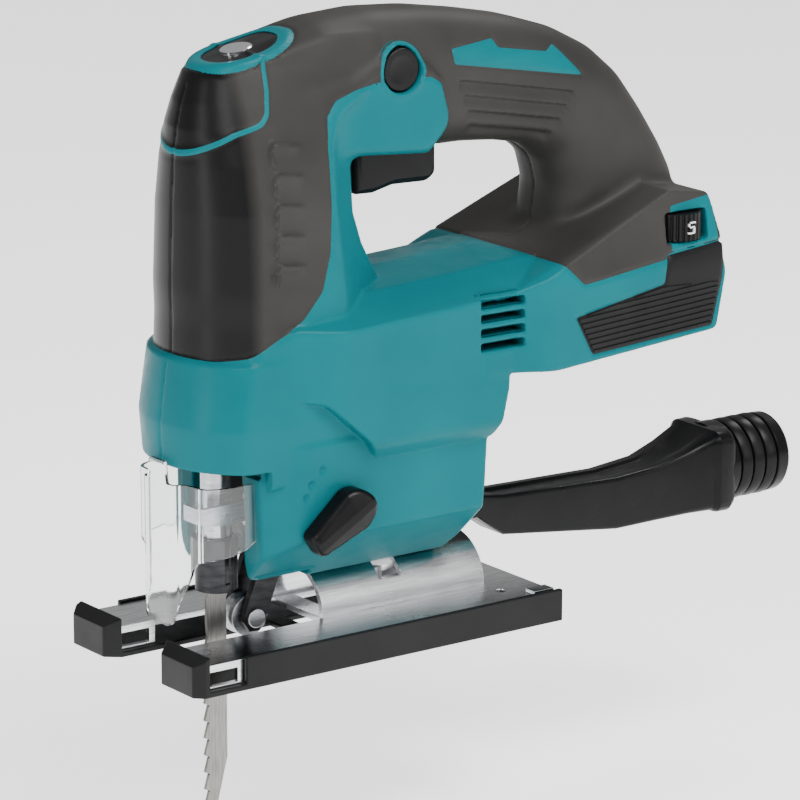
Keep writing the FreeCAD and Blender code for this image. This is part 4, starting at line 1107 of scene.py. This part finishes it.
def build_camera():
    azimuth, elevation, distance = math.radians(35.88), math.radians(14.18), 1.5
    level = math.cos(elevation)
    away = Vector((-math.sin(azimuth) * level, -math.cos(azimuth) * level, math.sin(elevation)))
    camera = bpy.data.cameras.new("camera")
    camera.sensor_width = 36
    camera.lens = 203.9535
    camera.shift_x = 0.005225
    camera.shift_y = -0.0393375
    camera.clip_start = 0.05
    holder = bpy.data.objects.new("camera", camera)
    holder.location = MIDDLE + away * distance
    holder.rotation_euler = (-away).to_track_quat("-Z", "Y").to_euler()
    bpy.context.collection.objects.link(holder)
    bpy.context.scene.camera = holder


def repaint(node_name, material):
    """Give a CAD node that stays in view its finish."""
    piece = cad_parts[node_name]
    if not piece.material_slots:
        piece.data.materials.append(material)
    for material_slot in piece.material_slots:
        material_slot.material = material


def main():
    materials = make_materials()
    spot, screws = build_housing(materials)
    profile = [(0, 0.05), (4.9, 0.05), (5.3, -0.25), (5.3, -1.3), (0, -1.3)]
    disc = lathe("cap_disc", profile, (-0.18, 0, 0.984), spot)
    add_object("cap_disc", disc, "housing", materials["disc"], ["cap_badge"])
    build_screws(materials, screws)
    build_panel_ribs(materials)
    build_lever(materials)
    build_dial(materials)
    build_nozzle(materials)
    build_guard(materials)
    for name, body, slot, finish, width in (
            ("base_plate", "base", "bright_plate", "bright", 0.35),
            ("base_arch", "base", "bright_plate", "bright", 0.25),
            ("base_cover", "base", "dark_plastic", "dark", 0.9),
            ("trigger", "trigger", "dark_plastic", "dark", 1.4),
            ("lock_button", "lock", "dark_plastic", "dark", 0.7),
            ("roller", "roller", "steel", "steel", 0.3),
            ("roller_holder", "holder", "steel", "black_steel", 0.3),
            ("clamp_sleeve", "sleeve", "steel", "black_steel", 0.4),
            ("tool_opener", "opener", "steel", "steel", 0.3),
            ("blade", "slider", "blade_steel", "blade", 0.08),
            ("roller_pin", "holder", "steel", "steel", 0.3)):
        dress(name, body, materials[finish], width)
    finishes = {
        "contact": ["terminal_blades"],
        "copper": ["motor_coils"],
        "board": ["sensor_board", "dial_board"],
        "cast": ["gear_case", "nose_bracket"],
        "lamp": ["job_light"],
        "black_steel": ["motor_stator"],
        "dark": ["terminal_block", "controller", "switch_body", "bearing_bracket", "fan"],
        "steel": ["battery_rails", "gear_pin", "drive_gear", "crank_pin", "crank_roller",
                  "counterweight", "slider_rod", "motor_shaft", "pinion", "swing_pin", "cam_shaft",
                  "opener_pin", "clamp_plate", "clamp_bolt", "motor_bearings", "motor_rotor",
                  "rod_guide_low", "rod_guide_high", "yoke"],
    }
    for finish, names in finishes.items():
        for name in names:
            repaint(name, materials[finish])
    build_stage()
    build_camera()


main()
